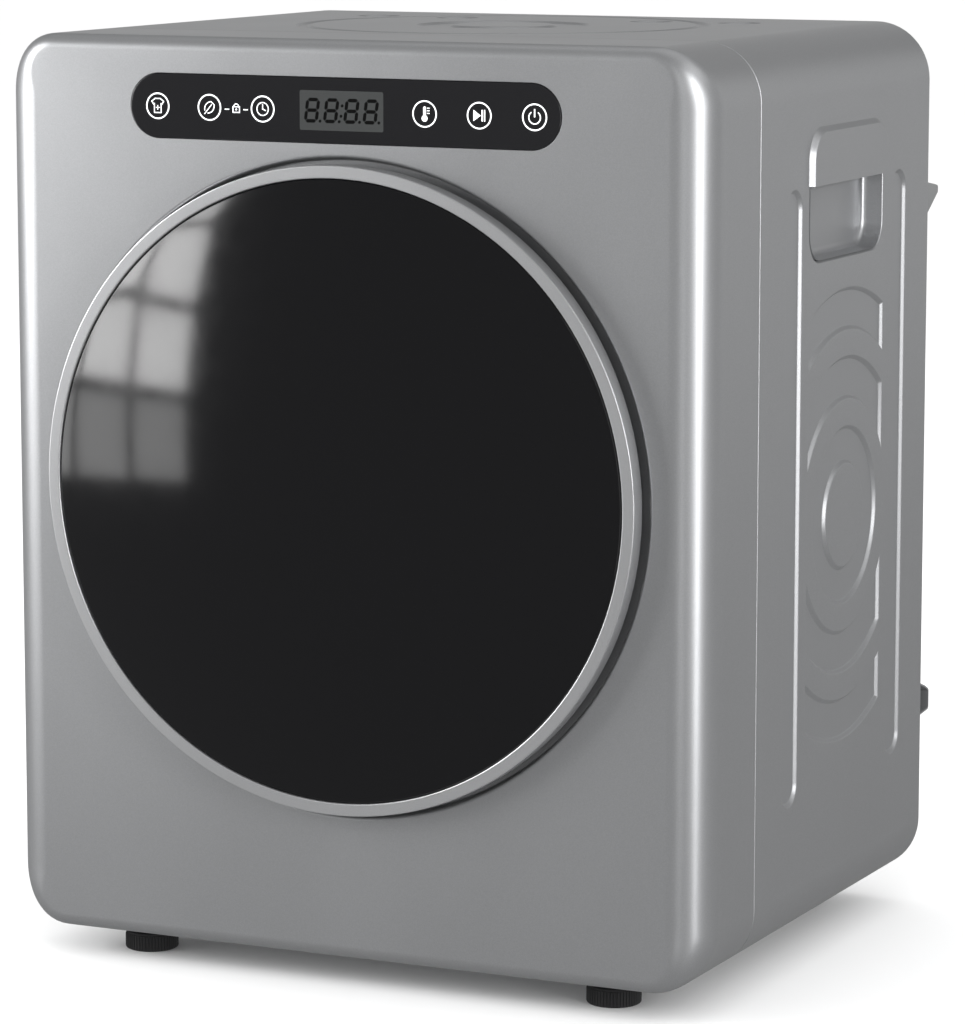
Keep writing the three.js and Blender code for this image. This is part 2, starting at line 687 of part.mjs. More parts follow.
const LINER_Y = FLANGE_Y + 2 + LOOSE;
const doorLiner = () =>
  cut(
    latheY(
      [
        [0, PLUG_END + 4],
        [PLUG_RADIUS - 40, PLUG_END + 3],
        [PLUG_RADIUS - 12, PLUG_END],
        [PLUG_RADIUS, 4],
        [FLANGE_RADIUS - 1.5, 4],
        [FLANGE_RADIUS - 1.5, LINER_Y + MOULDING],
        [GLASS_EDGE, LINER_Y + MOULDING],
        [GLASS_EDGE, LINER_Y],
        [FLANGE_RADIUS - 4, LINER_Y],
        [FLANGE_RADIUS - 4, 4 - MOULDING],
        [PLUG_RADIUS - MOULDING, 4 - MOULDING],
        [PLUG_RADIUS - 14, PLUG_END - MOULDING],
        [PLUG_RADIUS - 41, PLUG_END + 3 - MOULDING],
        [0, PLUG_END + 4 - MOULDING],
      ],
      0,
      DOOR_Z,
      FINE,
    ),
    doorNotch(),
  );
const doorSeal = () => ringY(...SEAL_RADII, [4 + CLEARANCE, RECESS_DEPTH - CLEARANCE], 0, DOOR_Z);

const knuckle = (z0, z1) =>
  rodZ(KNUCKLE_RADIUS, [DOOR_Z + z0, DOOR_Z + z1], HINGE_X, HINGE_Y, 20);
const pinHole = () =>
  rodZ(PIN_RADIUS + CLEARANCE, [DOOR_Z - 60, DOOR_Z + 60], HINGE_X, HINGE_Y, 16);
const hingeBracket = () => {
  const plateFront = RECESS_DEPTH + MOULDING + CLEARANCE;
  const leaf = (z0, z1) =>
    join(
      knuckle(z0, z1),
      box([HINGE_X - 1, HINGE_X + 1], [HINGE_Y, plateFront + 2], [DOOR_Z + z0, DOOR_Z + z1]),
    );
  const plate = box(
    [HINGE_X - 1, HINGE_X + 24],
    [plateFront, plateFront + 2],
    [DOOR_Z - 32, DOOR_Z + 32],
  );
  return cut(
    join(plate, leaf(KNUCKLE_HALF + LOOSE, HINGE_HALF), leaf(-HINGE_HALF, -KNUCKLE_HALF - LOOSE)),
    pinHole(),
  );
};
const armBack = LINER_Y + MOULDING + CLEARANCE;
const hingeArm = () =>
  cut(
    join(
      knuckle(-KNUCKLE_HALF, KNUCKLE_HALF),
      box(
        [HINGE_X, HINGE_X + 6],
        [HINGE_Y, armBack + 2],
        [DOOR_Z - KNUCKLE_HALF, DOOR_Z + KNUCKLE_HALF],
      ),
      box([HINGE_X + 4, HINGE_X + 23], [armBack, armBack + 2], [DOOR_Z - 15, DOOR_Z + 15]),
    ),
    pinHole(),
  );
const hingePin = () =>
  rodZ(PIN_RADIUS, [DOOR_Z - HINGE_HALF - 1, DOOR_Z + HINGE_HALF + 1], HINGE_X, HINGE_Y, 16);

const latchHook = () =>
  join(
    box([LATCH_X - 7, LATCH_X + 6], [armBack, armBack + 2], [DOOR_Z - 9, DOOR_Z + 9]),
    box([LATCH_X - 3, LATCH_X + 2], [armBack, 24], [DOOR_Z - 5, DOOR_Z + 5]),
    box([LATCH_X - 3, LATCH_X + 6], [20, 24], [DOOR_Z - 5, DOOR_Z + 5]),
  );
const CATCH_Y = RECESS_DEPTH + MOULDING + 1;
const latchCatch = () =>
  cut(
    box([LATCH_X - 11, LATCH_X + 13], [CATCH_Y, CATCH_Y + 22], [DOOR_Z - 12, DOOR_Z + 12]),
    box([LATCH_X - 7, LATCH_X + 9.5], [CATCH_Y - 1, CATCH_Y + 17], [DOOR_Z - 8, DOOR_Z + 8]),
  );
const PLUNGER_RADIUS = 3;
const PLUNGER_TRAVEL = 4;
const doorSwitch = () =>
  cut(
    box(
      [SWITCH_X - 8, SWITCH_X + 8],
      [CATCH_Y, CATCH_Y + 24],
      [DOOR_Z - SWITCH_DROP - 10, DOOR_Z - SWITCH_DROP + 10],
    ),
    rodY(
      PLUNGER_RADIUS + LOOSE,
      [CATCH_Y - 1, CATCH_Y + 14 + PLUNGER_TRAVEL],
      SWITCH_X,
      DOOR_Z - SWITCH_DROP,
    ),
  );
const switchPlunger = () =>
  rodY(PLUNGER_RADIUS, [armBack + LOOSE, CATCH_Y + 12], SWITCH_X, DOOR_Z - SWITCH_DROP);

// ---- drum ----------------------------------------------------------------------------------
const drumShell = () =>
  latheY(
    closed([
      [MOUTH_RADIUS, DRUM_FRONT],
      [DRUM_RADIUS - 8, DRUM_FRONT],
      [DRUM_RADIUS, DRUM_FRONT + 8],
      [DRUM_RADIUS, DRUM_BACK + 4],
      [DRUM_RADIUS - SHEET, DRUM_BACK + 4],
      [DRUM_RADIUS - SHEET, DRUM_FRONT + 8.5],
      [DRUM_RADIUS - 8.5, DRUM_FRONT + SHEET],
      [MOUTH_RADIUS + SHEET, DRUM_FRONT + SHEET],
      [MOUTH_RADIUS + SHEET, DRUM_FRONT + 7],
      [MOUTH_RADIUS, DRUM_FRONT + 7],
    ]),
    0,
    DOOR_Z,
    FINE,
  );
const INNER_RADIUS = DRUM_RADIUS - SHEET - CLEARANCE;
const drumBack = () =>
  latheY(
    closed([
      [INNER_RADIUS, DRUM_BACK],
      [INNER_RADIUS, DRUM_BACK + SHEET],
      [WELL_RADIUS + SHEET, DRUM_BACK + SHEET],
      [WELL_RADIUS + SHEET, DRUM_BACK + WELL_DEPTH],
      [WELL_RADIUS - 13, DRUM_BACK + WELL_DEPTH],
      [WELL_RADIUS - 13, DRUM_BACK + WELL_DEPTH - SHEET],
      [WELL_RADIUS, DRUM_BACK + WELL_DEPTH - SHEET],
      [WELL_RADIUS, DRUM_BACK],
    ]),
    0,
    DOOR_Z,
    FINE,
  );
const lifter = (turn) => {
  const seat = (DRUM_RADIUS - SHEET) * FLAT_SHARE - CLEARANCE;
  const half = LIFTER_BASE / 2 / seat;
  const crest = seat - LIFTER_HEIGHT;
  const outline = [
    ...arc(0, 0, seat, -half, half, 6),
    ...arc(crest + 9, 0, 9, QUARTER, 3 * QUARTER, 6),
  ].map(([u, v]) => {
    const [c, s] = [Math.cos(turn), Math.sin(turn)];
    return [u * c - v * s, DOOR_Z + u * s + v * c];
  });
  return prism(facing, outline, DRUM_FRONT + 30, DRUM_BACK - 24);
};
const HUB_Y = DRUM_BACK + WELL_DEPTH + CLEARANCE;
const BEARING_Y = DEPTH - 27;
const drumHub = () =>
  cut(
    join(
      rodY(WELL_RADIUS, [HUB_Y, HUB_Y + 3], 0, DOOR_Z, 28),
      rodY(18, [HUB_Y, HUB_Y + 8], 0, DOOR_Z),
      rodY(DRUM_SHAFT_RADIUS, [HUB_Y, BEARING_Y + 18], 0, DOOR_Z),
    ),
    ...[0, 1, 2].map((i) => {
      const angle = (i * 4 * QUARTER) / 3;
      return rodY(17, [HUB_Y - 1, HUB_Y + 9], 42 * Math.sin(angle), DOOR_Z + 42 * Math.cos(angle));
    }),
  );
const rearBearing = () =>
  ringY(DRUM_SHAFT_RADIUS + CLEARANCE, 15, [BEARING_Y, BEARING_Y + 14], 0, DOOR_Z, COARSE);
const BEAM_HALF = WIDTH / 2 - 12.5;
const bearingBeam = () => {
  const back = REAR_PANEL_Y - CLEARANCE;
  return cut(
    join(
      box([-BEAM_HALF, BEAM_HALF], [back - 2, back], [DOOR_Z - 30, DOOR_Z + 30]),
      rodY(22, [BEARING_Y, back], 0, DOOR_Z, COARSE),
    ),
    rodY(15 + CLEARANCE, [BEARING_Y - 1, BEARING_Y + 14 + CLEARANCE], 0, DOOR_Z),
    rodY(DRUM_SHAFT_RADIUS + 1, [BEARING_Y, BEARING_Y + 19], 0, DOOR_Z),
  );
};
const lintFilter = () =>
  latheY(
    closed([
      [30, DRUM_BACK + 1],
      [WELL_RADIUS - 1, DRUM_BACK + 1],
      [WELL_RADIUS - 1, DRUM_BACK + WELL_DEPTH - 2],
      [WELL_RADIUS - 6, DRUM_BACK + WELL_DEPTH - 2],
      [WELL_RADIUS - 6, DRUM_BACK + 3],
      [30, DRUM_BACK + 3],
    ]),
    0,
    DOOR_Z,
    28,
  );
const filterGrille = () =>
  cut(
    latheY(
      [
        [0, DRUM_BACK - 6],
        [20, DRUM_BACK - 6],
        [WELL_RADIUS, DRUM_BACK - 3.2],
        [WELL_RADIUS + 5, DRUM_BACK - CLEARANCE],
        [WELL_RADIUS - 4, DRUM_BACK - CLEARANCE],
        [WELL_RADIUS - 6, DRUM_BACK - 1.4],
        [20, DRUM_BACK - 3.6],
        [0, DRUM_BACK - 3.6],
      ],
      0,
      DOOR_Z,
      48,
    ),
    ...[-2, -1, 0, 1, 2].map((i) =>
      box([-42, 42], [DRUM_BACK - 9, DRUM_BACK + 1], [DOOR_Z + i * 16 - 4, DOOR_Z + i * 16 + 4]),
    ),
  );

// ---- drive ---------------------------------------------------------------------------------
const motorBody = () => {
  const end = MOTOR_FRONT + MOTOR_LENGTH;
  return latheY(
    closed([
      [MOTOR_SHAFT_RADIUS + CLEARANCE, MOTOR_FRONT - 10],
      [14, MOTOR_FRONT - 10],
      [14, MOTOR_FRONT],
      [MOTOR_RADIUS - 6, MOTOR_FRONT],
      [MOTOR_RADIUS, MOTOR_FRONT + 8],
      [MOTOR_RADIUS, end - 8],
      [MOTOR_RADIUS - 6, end],
      [14, end],
      [14, end + 10],
      [MOTOR_SHAFT_RADIUS + CLEARANCE, end + 10],
    ]),
    MOTOR_X,
    MOTOR_Z,
    24,
  );
};
const motorMount = () => {
  const end = MOTOR_FRONT + MOTOR_LENGTH;
  const floor = PAN_Z + SHEET + CLEARANCE;
  const upright = (y) => box([MOTOR_X - 36, MOTOR_X + 36], [y, y + 3], [floor, MOTOR_Z + 18]);
  return cut(
    join(
      box([MOTOR_X - 36, MOTOR_X + 36], [MOTOR_FRONT - 8, end + 8], [floor, floor + 2]),
      upright(MOTOR_FRONT - 8),
      upright(end + 5),
    ),
    rodY(14 + LOOSE, [MOTOR_FRONT - 12, end + 12], MOTOR_X, MOTOR_Z),
  );
};
const motorShaft = () =>
  rodY(MOTOR_SHAFT_RADIUS, [BELT_Y - 8, BLOWER_Y + BLOWER_DEPTH - 5], MOTOR_X, MOTOR_Z);
const motorPulley = () => {
  const [front, back] = [BELT_Y - 1, BELT_Y + BELT_WIDTH + 1];
  return latheY(
    closed([
      [MOTOR_SHAFT_RADIUS + CLEARANCE, front - 3],
      [PULLEY_RADIUS + 4, front - 3],
      [PULLEY_RADIUS + 4, front],
      [PULLEY_RADIUS, front],
      [PULLEY_RADIUS, back],
      [PULLEY_RADIUS + 4, back],
      [PULLEY_RADIUS + 4, back + 3],
      [MOTOR_SHAFT_RADIUS + CLEARANCE, back + 3],
    ]),
    MOTOR_X,
    MOTOR_Z,
    COARSE,
  );
};

// The belt's two straight runs touch both circles, so their outward normals follow from the radii.
const beltOutline = (drumRadius, pulleyRadius) => {
  const [dx, dz] = [MOTOR_X, MOTOR_Z - DOOR_Z];
  const distance = Math.hypot(dx, dz);
  const along = Math.atan2(dz, dx);
  const spread = Math.acos((drumRadius - pulleyRadius) / distance);
  return {
    points: [
      ...arc(0, DOOR_Z, drumRadius, along + spread, along + 4 * QUARTER - spread, FINE),
      ...arc(MOTOR_X, MOTOR_Z, pulleyRadius, along - spread, along + spread, 8),
    ],
    lowerNormal: along - spread,
  };
};
const BELT_SEAT = DRUM_RADIUS / FLAT_SHARE + CLEARANCE;
const beltInner = beltOutline(BELT_SEAT, PULLEY_RADIUS + CLEARANCE);
const beltOuter = beltOutline(BELT_SEAT + BELT_THICKNESS, PULLEY_RADIUS + CLEARANCE + BELT_THICKNESS);
const driveBelt = () =>
  cut(
    prism(facing, beltOuter.points, BELT_Y, BELT_Y + BELT_WIDTH),
    prism(facing, beltInner.points, BELT_Y - 1, BELT_Y + BELT_WIDTH + 1),
  );
// The idler presses on the middle of the lower run, from outside.
const idlerCentre = (() => {
  const normal = [Math.cos(beltOuter.lowerNormal), Math.sin(beltOuter.lowerNormal)];
  const start = [0, DOOR_Z].map((c, i) => c + normal[i] * (BELT_SEAT + BELT_THICKNESS));
  const end = [MOTOR_X, MOTOR_Z].map(
    (c, i) => c + normal[i] * (PULLEY_RADIUS + CLEARANCE + BELT_THICKNESS),
  );
  return [0, 1].map((i) => (start[i] + end[i]) / 2 + normal[i] * (IDLER_RADIUS + CLEARANCE));
})();
const ARM_Y = BELT_Y + BELT_WIDTH + 2;
const STUB_RADIUS = 4;
const idlerPulley = () =>
  ringY(
    STUB_RADIUS + CLEARANCE,
    IDLER_RADIUS,
    [BELT_Y - 1, BELT_Y + BELT_WIDTH + 1],
    ...idlerCentre,
    COARSE,
  );
const idlerArm = () => {
  const [[px, pz], [ix, iz]] = [IDLER_PIVOT, idlerCentre];
  const angle = Math.atan2(iz - pz, ix - px);
  const outline = [
    ...arc(px, pz, 10, angle + QUARTER, angle + 3 * QUARTER, 8),
    ...arc(ix, iz, 9, angle - QUARTER, angle + QUARTER, 8),
  ];
  return cut(
    join(
      prism(facing, outline, ARM_Y, ARM_Y + 3),
      rodY(STUB_RADIUS, [BELT_Y - 3, ARM_Y + 1], ix, iz),
    ),
    rodY(STUB_RADIUS + CLEARANCE, [ARM_Y - 1, ARM_Y + 4], px, pz),
  );
};
const idlerPost = () => {
  const [x, z] = IDLER_PIVOT;
  return join(
    box([x - 12, x + 12], [ARM_Y + 4, ARM_Y + 7], [PAN_Z + SHEET + CLEARANCE, z + 12]),
    box([x - 12, x + 12], [ARM_Y + 4, ARM_Y + 30], [PAN_Z + SHEET + CLEARANCE, PAN_Z + SHEET + 2]),
    rodY(STUB_RADIUS, [BELT_Y - 6, ARM_Y + 5], x, z),
  );
};
const idlerSpring = () => {
  const [x, z] = IDLER_PIVOT;
  const turns = 4;
  class Helix extends THREE.Curve {
    getPoint(t) {
      const angle = turns * 4 * QUARTER * t;
      return new THREE.Vector3(x + 6.5 * Math.cos(angle), BELT_Y - 3 + 11 * t, z + 6.5 * Math.sin(angle));
    }
  }
  const wire = new THREE.Shape(circle(0, 0, 0.9, 5).map(([u, v]) => new THREE.Vector2(u, v)));
  return solidOf(
    new THREE.ExtrudeGeometry(wire, { steps: turns * 8, extrudePath: new Helix(), bevelEnabled: false }),
  );
};
const blowerWheel = () => {
  const front = BLOWER_Y + 5;
  const back = BLOWER_Y + BLOWER_DEPTH - 6;
  const blades = Array.from({ length: BLADE_COUNT }, (_, i) => {
    const blade = new THREE.BoxGeometry(1.6, back - front, 14)
      .rotateY(0.5)
      .translate(0, (front + back) / 2, BLOWER_RADIUS - 8)
      .rotateY((i * 4 * QUARTER) / BLADE_COUNT)
      .translate(MOTOR_X, 0, MOTOR_Z);
    return solidOf(blade);
  });
  return cut(
    join(
      rodY(BLOWER_RADIUS, [back - 2, back], MOTOR_X, MOTOR_Z, 24),
      rodY(12, [front, back], MOTOR_X, MOTOR_Z),
      ...blades,
    ),
    rodY(MOTOR_SHAFT_RADIUS + CLEARANCE, [front - 2, back + 2], MOTOR_X, MOTOR_Z),
  );
};
const VOLUTE = BLOWER_RADIUS + 4;
const VOLUTE_WALL = 2;
const OUTLET_Z = MOTOR_Z + 70;
const blowerHousing = () =>
  cut(
    join(
      rodY(VOLUTE + VOLUTE_WALL, [BLOWER_Y, BLOWER_Y + BLOWER_DEPTH], MOTOR_X, MOTOR_Z, 24),
      box([DUCT_LEFT, DUCT_RIGHT], [BLOWER_Y, BLOWER_Y + BLOWER_DEPTH], [MOTOR_Z, OUTLET_Z]),
    ),
    rodY(VOLUTE, [BLOWER_Y + VOLUTE_WALL, BLOWER_Y + BLOWER_DEPTH - VOLUTE_WALL], MOTOR_X, MOTOR_Z, 24),
    box(
      [DUCT_LEFT + VOLUTE_WALL, DUCT_RIGHT - VOLUTE_WALL],
      [BLOWER_Y + VOLUTE_WALL, BLOWER_Y + BLOWER_DEPTH - VOLUTE_WALL],
      [MOTOR_Z, OUTLET_Z + 1],
    ),
    rodY(28, [BLOWER_Y - 1, BLOWER_Y + 4], MOTOR_X, MOTOR_Z),
  );
const exhaustDuct = () => {
  const y = [BLOWER_Y, BLOWER_Y + BLOWER_DEPTH];
  const inner = [y[0] + VOLUTE_WALL, y[1] - VOLUTE_WALL];
  const headBottom = HOOD_BOTTOM - 26;
  const head = [HOOD_LEFT + 8, HOOD_RIGHT - 8];
  return cut(
    join(
      box([DUCT_LEFT, DUCT_RIGHT], y, [OUTLET_Z + CLEARANCE, headBottom + 4]),
      box(head, y, [headBottom, HOOD_BOTTOM + 32]),
    ),
    box(
      [DUCT_LEFT + VOLUTE_WALL, DUCT_RIGHT - VOLUTE_WALL],
      inner,
      [OUTLET_Z - 1, headBottom + 6],
    ),
    box(
      [head[0] + VOLUTE_WALL, head[1] - VOLUTE_WALL],
      [inner[0], y[1] + 1],
      [headBottom + VOLUTE_WALL, HOOD_BOTTOM + 30],
    ),
  );
};
const capacitor = () => rodY(17, [214, 282], -128, PAN_Z + SHEET + 18, 24);

// ---- heater --------------------------------------------------------------------------------
const HEATER_X = [-48, 48];
const HEATER_Y = [18, 58];
const collarUnderside = () =>
  rodY(OPENING_RADIUS + 2.5 + LOOSE, [0, BULKHEAD_Y], 0, DOOR_Z, FINE);
const heaterBox = () => {
  const wall = 1.5;
  return cut(
    box(HEATER_X, HEATER_Y, [PAN_Z + SHEET + CLEARANCE, DOOR_Z - OPENING_RADIUS + 6]),
    box(
      [HEATER_X[0] + wall, HEATER_X[1] - wall],
      [HEATER_Y[0] + wall, HEATER_Y[1] - wall],
      [PAN_Z, DOOR_Z - OPENING_RADIUS + 8],
    ),
    collarUnderside(),
  );
};
const heaterElement = () => {
  const span = [HEATER_X[0] + 6, HEATER_X[1] - 6];
  const depth = [HEATER_Y[0] + 6, HEATER_Y[1] - 6];
  const slots = Array.from({ length: 9 }, (_, i) => {
    const x = span[0] + 6 + i * 9;
    return box([x - 2, x + 2], [depth[0] - 1, depth[1] - 4], [60, 110]);
  });
  return cut(box(span, depth, [70, 98]), ...slots);
};
const thermostat = () =>
  join(
    rodY(9, [HEATER_Y[1] + CLEARANCE, HEATER_Y[1] + 5], 26, 116),
    rodY(5, [HEATER_Y[1] + CLEARANCE, HEATER_Y[1] + 7.4], 26, 116),
  );

// ---- materials -----------------------------------------------------------------------------
const finish = (color, roughness, metalness) =>
  new THREE.MeshStandardMaterial({ color, roughness, metalness });
const SILVER = finish(0x9c9ea0, 0.42, 0.55);
const SATIN = finish(0xb4b6b8, 0.32, 0.8);
const GLOSS_BLACK = finish(0x141516, 0.08, 0);
const DARK_PLASTIC = finish(0x26282a, 0.5, 0);
const GREY_PLASTIC = finish(0x8d9092, 0.55, 0);
const WHITE_PLASTIC = finish(0xd9dadb, 0.5, 0);
const ZINC = finish(0xa9abad, 0.45, 0.9);
const STAINLESS = finish(0xc3c5c7, 0.25, 1);
const RUBBER = finish(0x1b1c1d, 0.85, 0);
const FELT = finish(0x8b8577, 0.95, 0);
const BOARD = finish(0x1f5a36, 0.6, 0);
const DISPLAY = finish(0x4c5250, 0.2, 0);
const COPPER = finish(0x6f7478, 0.5, 0.6);
const MESH = finish(0x6d7d8a, 0.8, 0);

// ---- assembly ------------------------------------------------------------------------------
const dryer = new THREE.Group();
const add = (name, solid, material) => {
  const { vertProperties, triVerts } = solid.getMesh();
  const geometry = new THREE.BufferGeometry();
  geometry.setAttribute("position", new THREE.BufferAttribute(new Float32Array(vertProperties), 3));
  geometry.setIndex(new THREE.BufferAttribute(new Uint32Array(triVerts), 1));
  geometry.computeVertexNormals();
  const mesh = new THREE.Mesh(geometry, material);
  mesh.name = name;
  dryer.add(mesh);
};

add("front_panel", frontPanel(), SILVER);
add("cabinet_wrap", cabinetWrap(), SILVER);
add("handle_cup_left", handleCup(-1), SILVER);
add("handle_cup_right", handleCup(1), SILVER);
add("base_pan", basePan(), ZINC);
add("rear_panel", rearPanel(), ZINC);
add("exhaust_hood", exhaustHood(), GREY_PLASTIC);
add("rear_spacer", rearSpacer(), ZINC);
add("cord_gland", cordGland(), RUBBER);
footPlaces.forEach(([place, x, y]) => add(`foot_${place}`, foot(x, y), RUBBER));

add("control_fascia", controlFascia(), GLOSS_BLACK);
add("display_module", displayModule(), DISPLAY);
add("control_board", controlBoard(), BOARD);
add("power_board", powerBoard(), DARK_PLASTIC);

add("door_ring", doorRing(), SATIN);
add("door_glass", doorGlass(), GLOSS_BLACK);
add("door_liner", doorLiner(), DARK_PLASTIC);
add("door_seal", doorSeal(), RUBBER);
add("hinge_bracket", hingeBracket(), ZINC);
add("hinge_arm", hingeArm(), ZINC);
add("hinge_pin", hingePin(), STAINLESS);
add("latch_hook", latchHook(), WHITE_PLASTIC);
add("latch_catch", latchCatch(), DARK_PLASTIC);
add("door_switch", doorSwitch(), DARK_PLASTIC);
add("switch_plunger", switchPlunger(), WHITE_PLASTIC);

add("opening_collar", openingCollar(), GREY_PLASTIC);
add("front_bulkhead", frontBulkhead(), ZINC);
add("drum_front_seal", drumFrontSeal(), FELT);
add("rear_bulkhead", rearBulkhead(), ZINC);
add("drum_rear_seal", drumRearSeal(), FELT);

add("drum_shell", drumShell(), STAINLESS);
add("drum_back", drumBack(), STAINLESS);
for (let i = 0; i < LIFTER_COUNT; i++) {
  add(`drum_lifter_${i + 1}`, lifter(QUARTER + (i * 4 * QUARTER) / LIFTER_COUNT), GREY_PLASTIC);
}
add("drum_hub", drumHub(), ZINC);
add("rear_bearing", rearBearing(), STAINLESS);
add("bearing_beam", bearingBeam(), ZINC);
add("lint_filter", lintFilter(), MESH);
add("filter_grille", filterGrille(), GREY_PLASTIC);

add("motor_body", motorBody(), ZINC);
add("motor_mount", motorMount(), ZINC);
add("motor_shaft", motorShaft(), STAINLESS);
add("motor_pulley", motorPulley(), ZINC);
add("drive_belt", driveBelt(), RUBBER);
add("idler_arm", idlerArm(), ZINC);
add("idler_pulley", idlerPulley(), WHITE_PLASTIC);
add("idler_post", idlerPost(), ZINC);
add("idler_spring", idlerSpring(), STAINLESS);
add("blower_wheel", blowerWheel(), WHITE_PLASTIC);
add("blower_housing", blowerHousing(), GREY_PLASTIC);
add("exhaust_duct", exhaustDuct(), GREY_PLASTIC);
add("capacitor", capacitor(), WHITE_PLASTIC);
add("heater_box", heaterBox(), ZINC);
add("heater_element", heaterElement(), COPPER);
add("thermostat", thermostat(), DARK_PLASTIC);

const FOREMOST = -GLASS_FRONT - GLASS_RISE;
const REARMOST = REAR_PANEL_Y + SHEET + CLEARANCE + HOOD_REACH;
const root = new THREE.Group();
dryer.position.y = -(FOREMOST + REARMOST) / 2;
root.add(dryer);

export default root;
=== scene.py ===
"""Looks for a compact vented clothes dryer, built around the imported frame.

Lengths are millimetres in the design's own directions: x to the right, y back from the front panel's
flat face, z up from the floor. `mesh_of` turns them into the frame's metres.
"""

import json
import math

import bmesh
import bpy
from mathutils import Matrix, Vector
from mathutils.geometry import delaunay_2d_cdt


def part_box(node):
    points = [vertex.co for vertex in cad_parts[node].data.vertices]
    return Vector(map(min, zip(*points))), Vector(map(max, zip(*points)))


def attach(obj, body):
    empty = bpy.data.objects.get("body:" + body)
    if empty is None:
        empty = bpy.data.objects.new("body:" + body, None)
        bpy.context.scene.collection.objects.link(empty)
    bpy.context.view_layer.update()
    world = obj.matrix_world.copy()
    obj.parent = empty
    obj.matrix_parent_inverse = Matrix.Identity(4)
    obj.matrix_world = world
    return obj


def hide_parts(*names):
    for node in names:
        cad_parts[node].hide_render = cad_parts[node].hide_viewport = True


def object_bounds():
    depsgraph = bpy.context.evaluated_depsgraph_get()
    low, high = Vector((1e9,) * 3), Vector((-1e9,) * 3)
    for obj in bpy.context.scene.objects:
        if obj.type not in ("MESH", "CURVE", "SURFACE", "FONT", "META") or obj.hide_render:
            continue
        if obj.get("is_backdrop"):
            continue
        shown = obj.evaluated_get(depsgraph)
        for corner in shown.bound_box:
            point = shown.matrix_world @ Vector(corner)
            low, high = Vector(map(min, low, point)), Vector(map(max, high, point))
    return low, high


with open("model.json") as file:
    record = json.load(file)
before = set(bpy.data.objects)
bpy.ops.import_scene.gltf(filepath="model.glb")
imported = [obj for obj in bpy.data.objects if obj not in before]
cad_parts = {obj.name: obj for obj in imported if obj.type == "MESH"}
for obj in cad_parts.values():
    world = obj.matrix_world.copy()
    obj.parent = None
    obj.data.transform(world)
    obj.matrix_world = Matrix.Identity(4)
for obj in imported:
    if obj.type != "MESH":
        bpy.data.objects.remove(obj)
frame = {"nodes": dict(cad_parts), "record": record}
cad_low, cad_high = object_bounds()
cad_low, cad_high = Vector(cad_low), Vector(cad_high)

# ---- sizes taken from the frame ----
MM = 0.001
FACE_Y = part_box("front_panel")[0][1]  # metres: the front panel's flat face


def box_mm(node):
    """A node's lowest and highest corners in the script's own millimetres."""
    return [[p[0] / MM, (p[1] - FACE_Y) / MM, p[2] / MM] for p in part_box(node)]


PANEL_LOW, PANEL_HIGH = box_mm("front_panel")
HALF = PANEL_HIGH[0]  # half the cabinet's width
TOP = PANEL_HIGH[2]
BOTTOM = PANEL_LOW[2]
SEAM = PANEL_HIGH[1]
WRAP_LOW, WRAP_HIGH = box_mm("cabinet_wrap")
WRAP_FRONT, REAR = WRAP_LOW[1], WRAP_HIGH[1]
PAD_PROUD = WRAP_HIGH[0] - HALF
REAR_FACE = box_mm("rear_panel")[1][1]
RING_LOW, RING_HIGH = box_mm("door_ring")
RING_RADIUS = RING_HIGH[0]
DOOR_Z = (RING_LOW[2] + RING_HIGH[2]) / 2
RING_FRONT, RING_BACK = RING_LOW[1], RING_HIGH[1]
GLASS_LOW, GLASS_HIGH = box_mm("door_glass")
GLASS_RADIUS = GLASS_HIGH[0]
LINER_LOW, LINER_HIGH = box_mm("door_liner")
HINGE = [(a + b) / 2 for a, b in zip(*box_mm("hinge_pin"))]
FASCIA_LOW, FASCIA_HIGH = box_mm("control_fascia")
DISPLAY_LOW, DISPLAY_HIGH = box_mm("display_module")
DRUM_LOW, DRUM_HIGH = box_mm("drum_shell")
DRUM_RADIUS = DRUM_HIGH[0]

# ---- sizes of the details ----
CORNER_RADIUS = 38
CORNER_STEPS = 14
SIDE_EDGE_RADIUS = 26  # rounding from the front face to the sides
TOP_EDGE_RADIUS = 9  # rounding from the front face to the top and the underside
SEAM_ROLL = 1.1
REAR_ROLL = 0.6
RETURN_EDGE = 190  # where the wrap's returns under the cabinet end, from the middle
FLANGE_OVERHANG = 4  # how far the fascia's hidden flange is wider than the visible pill
PILL_HALF = FASCIA_HIGH[0] - FLANGE_OVERHANG
PILL_RADIUS = (FASCIA_HIGH[2] - FASCIA_LOW[2]) / 2 - FLANGE_OVERHANG
PILL_Z = (FASCIA_HIGH[2] + FASCIA_LOW[2]) / 2
DISH_RADIUS = 207
DISH_LIP = 3
DISH_DEPTH = 8
OPENING_RADIUS = 156

PATTERN_Y = (SEAM + REAR) / 2
PATTERN_Z = 288
PRESS_DEPTH = 2.4
PRESS_FLANK = 2.4
PRESS_START = 0.6  # the pressing's upper bend begins this far outside its outline
PRESS_STEPS = 9
RING_PRESSING = (34, 58)
BANDS = ((76, 103.5), (121, 148))
BAND_HALF_WIDTH = 67
GROOVE_OFFSET = 94
GROOVE_WIDTH = 27
GROOVE_BOTTOM, GROOVE_TOP = 112.5, 505.5
TOP_RINGS = ((34, 57), (128, 137))
TOP_RING_DEPTH = PRESS_DEPTH * 0.6
TOP_DIMPLES = ((72, 316), (134, 320))
DIMPLE_RADIUS = 14.5

HANDLE_FRONT, HANDLE_REAR = 168, 298
LIP_Z = 506
PAD_TOP = 539
PAD_FLANK = 4
PAD_CORNER = 18
POCKET_BOTTOM = 457.5
POCKET_DEPTH = 14.5
POCKET_CORNER = 18
POCKET_ROLL = 1.8  # sloping edge of the sheet round the pocket

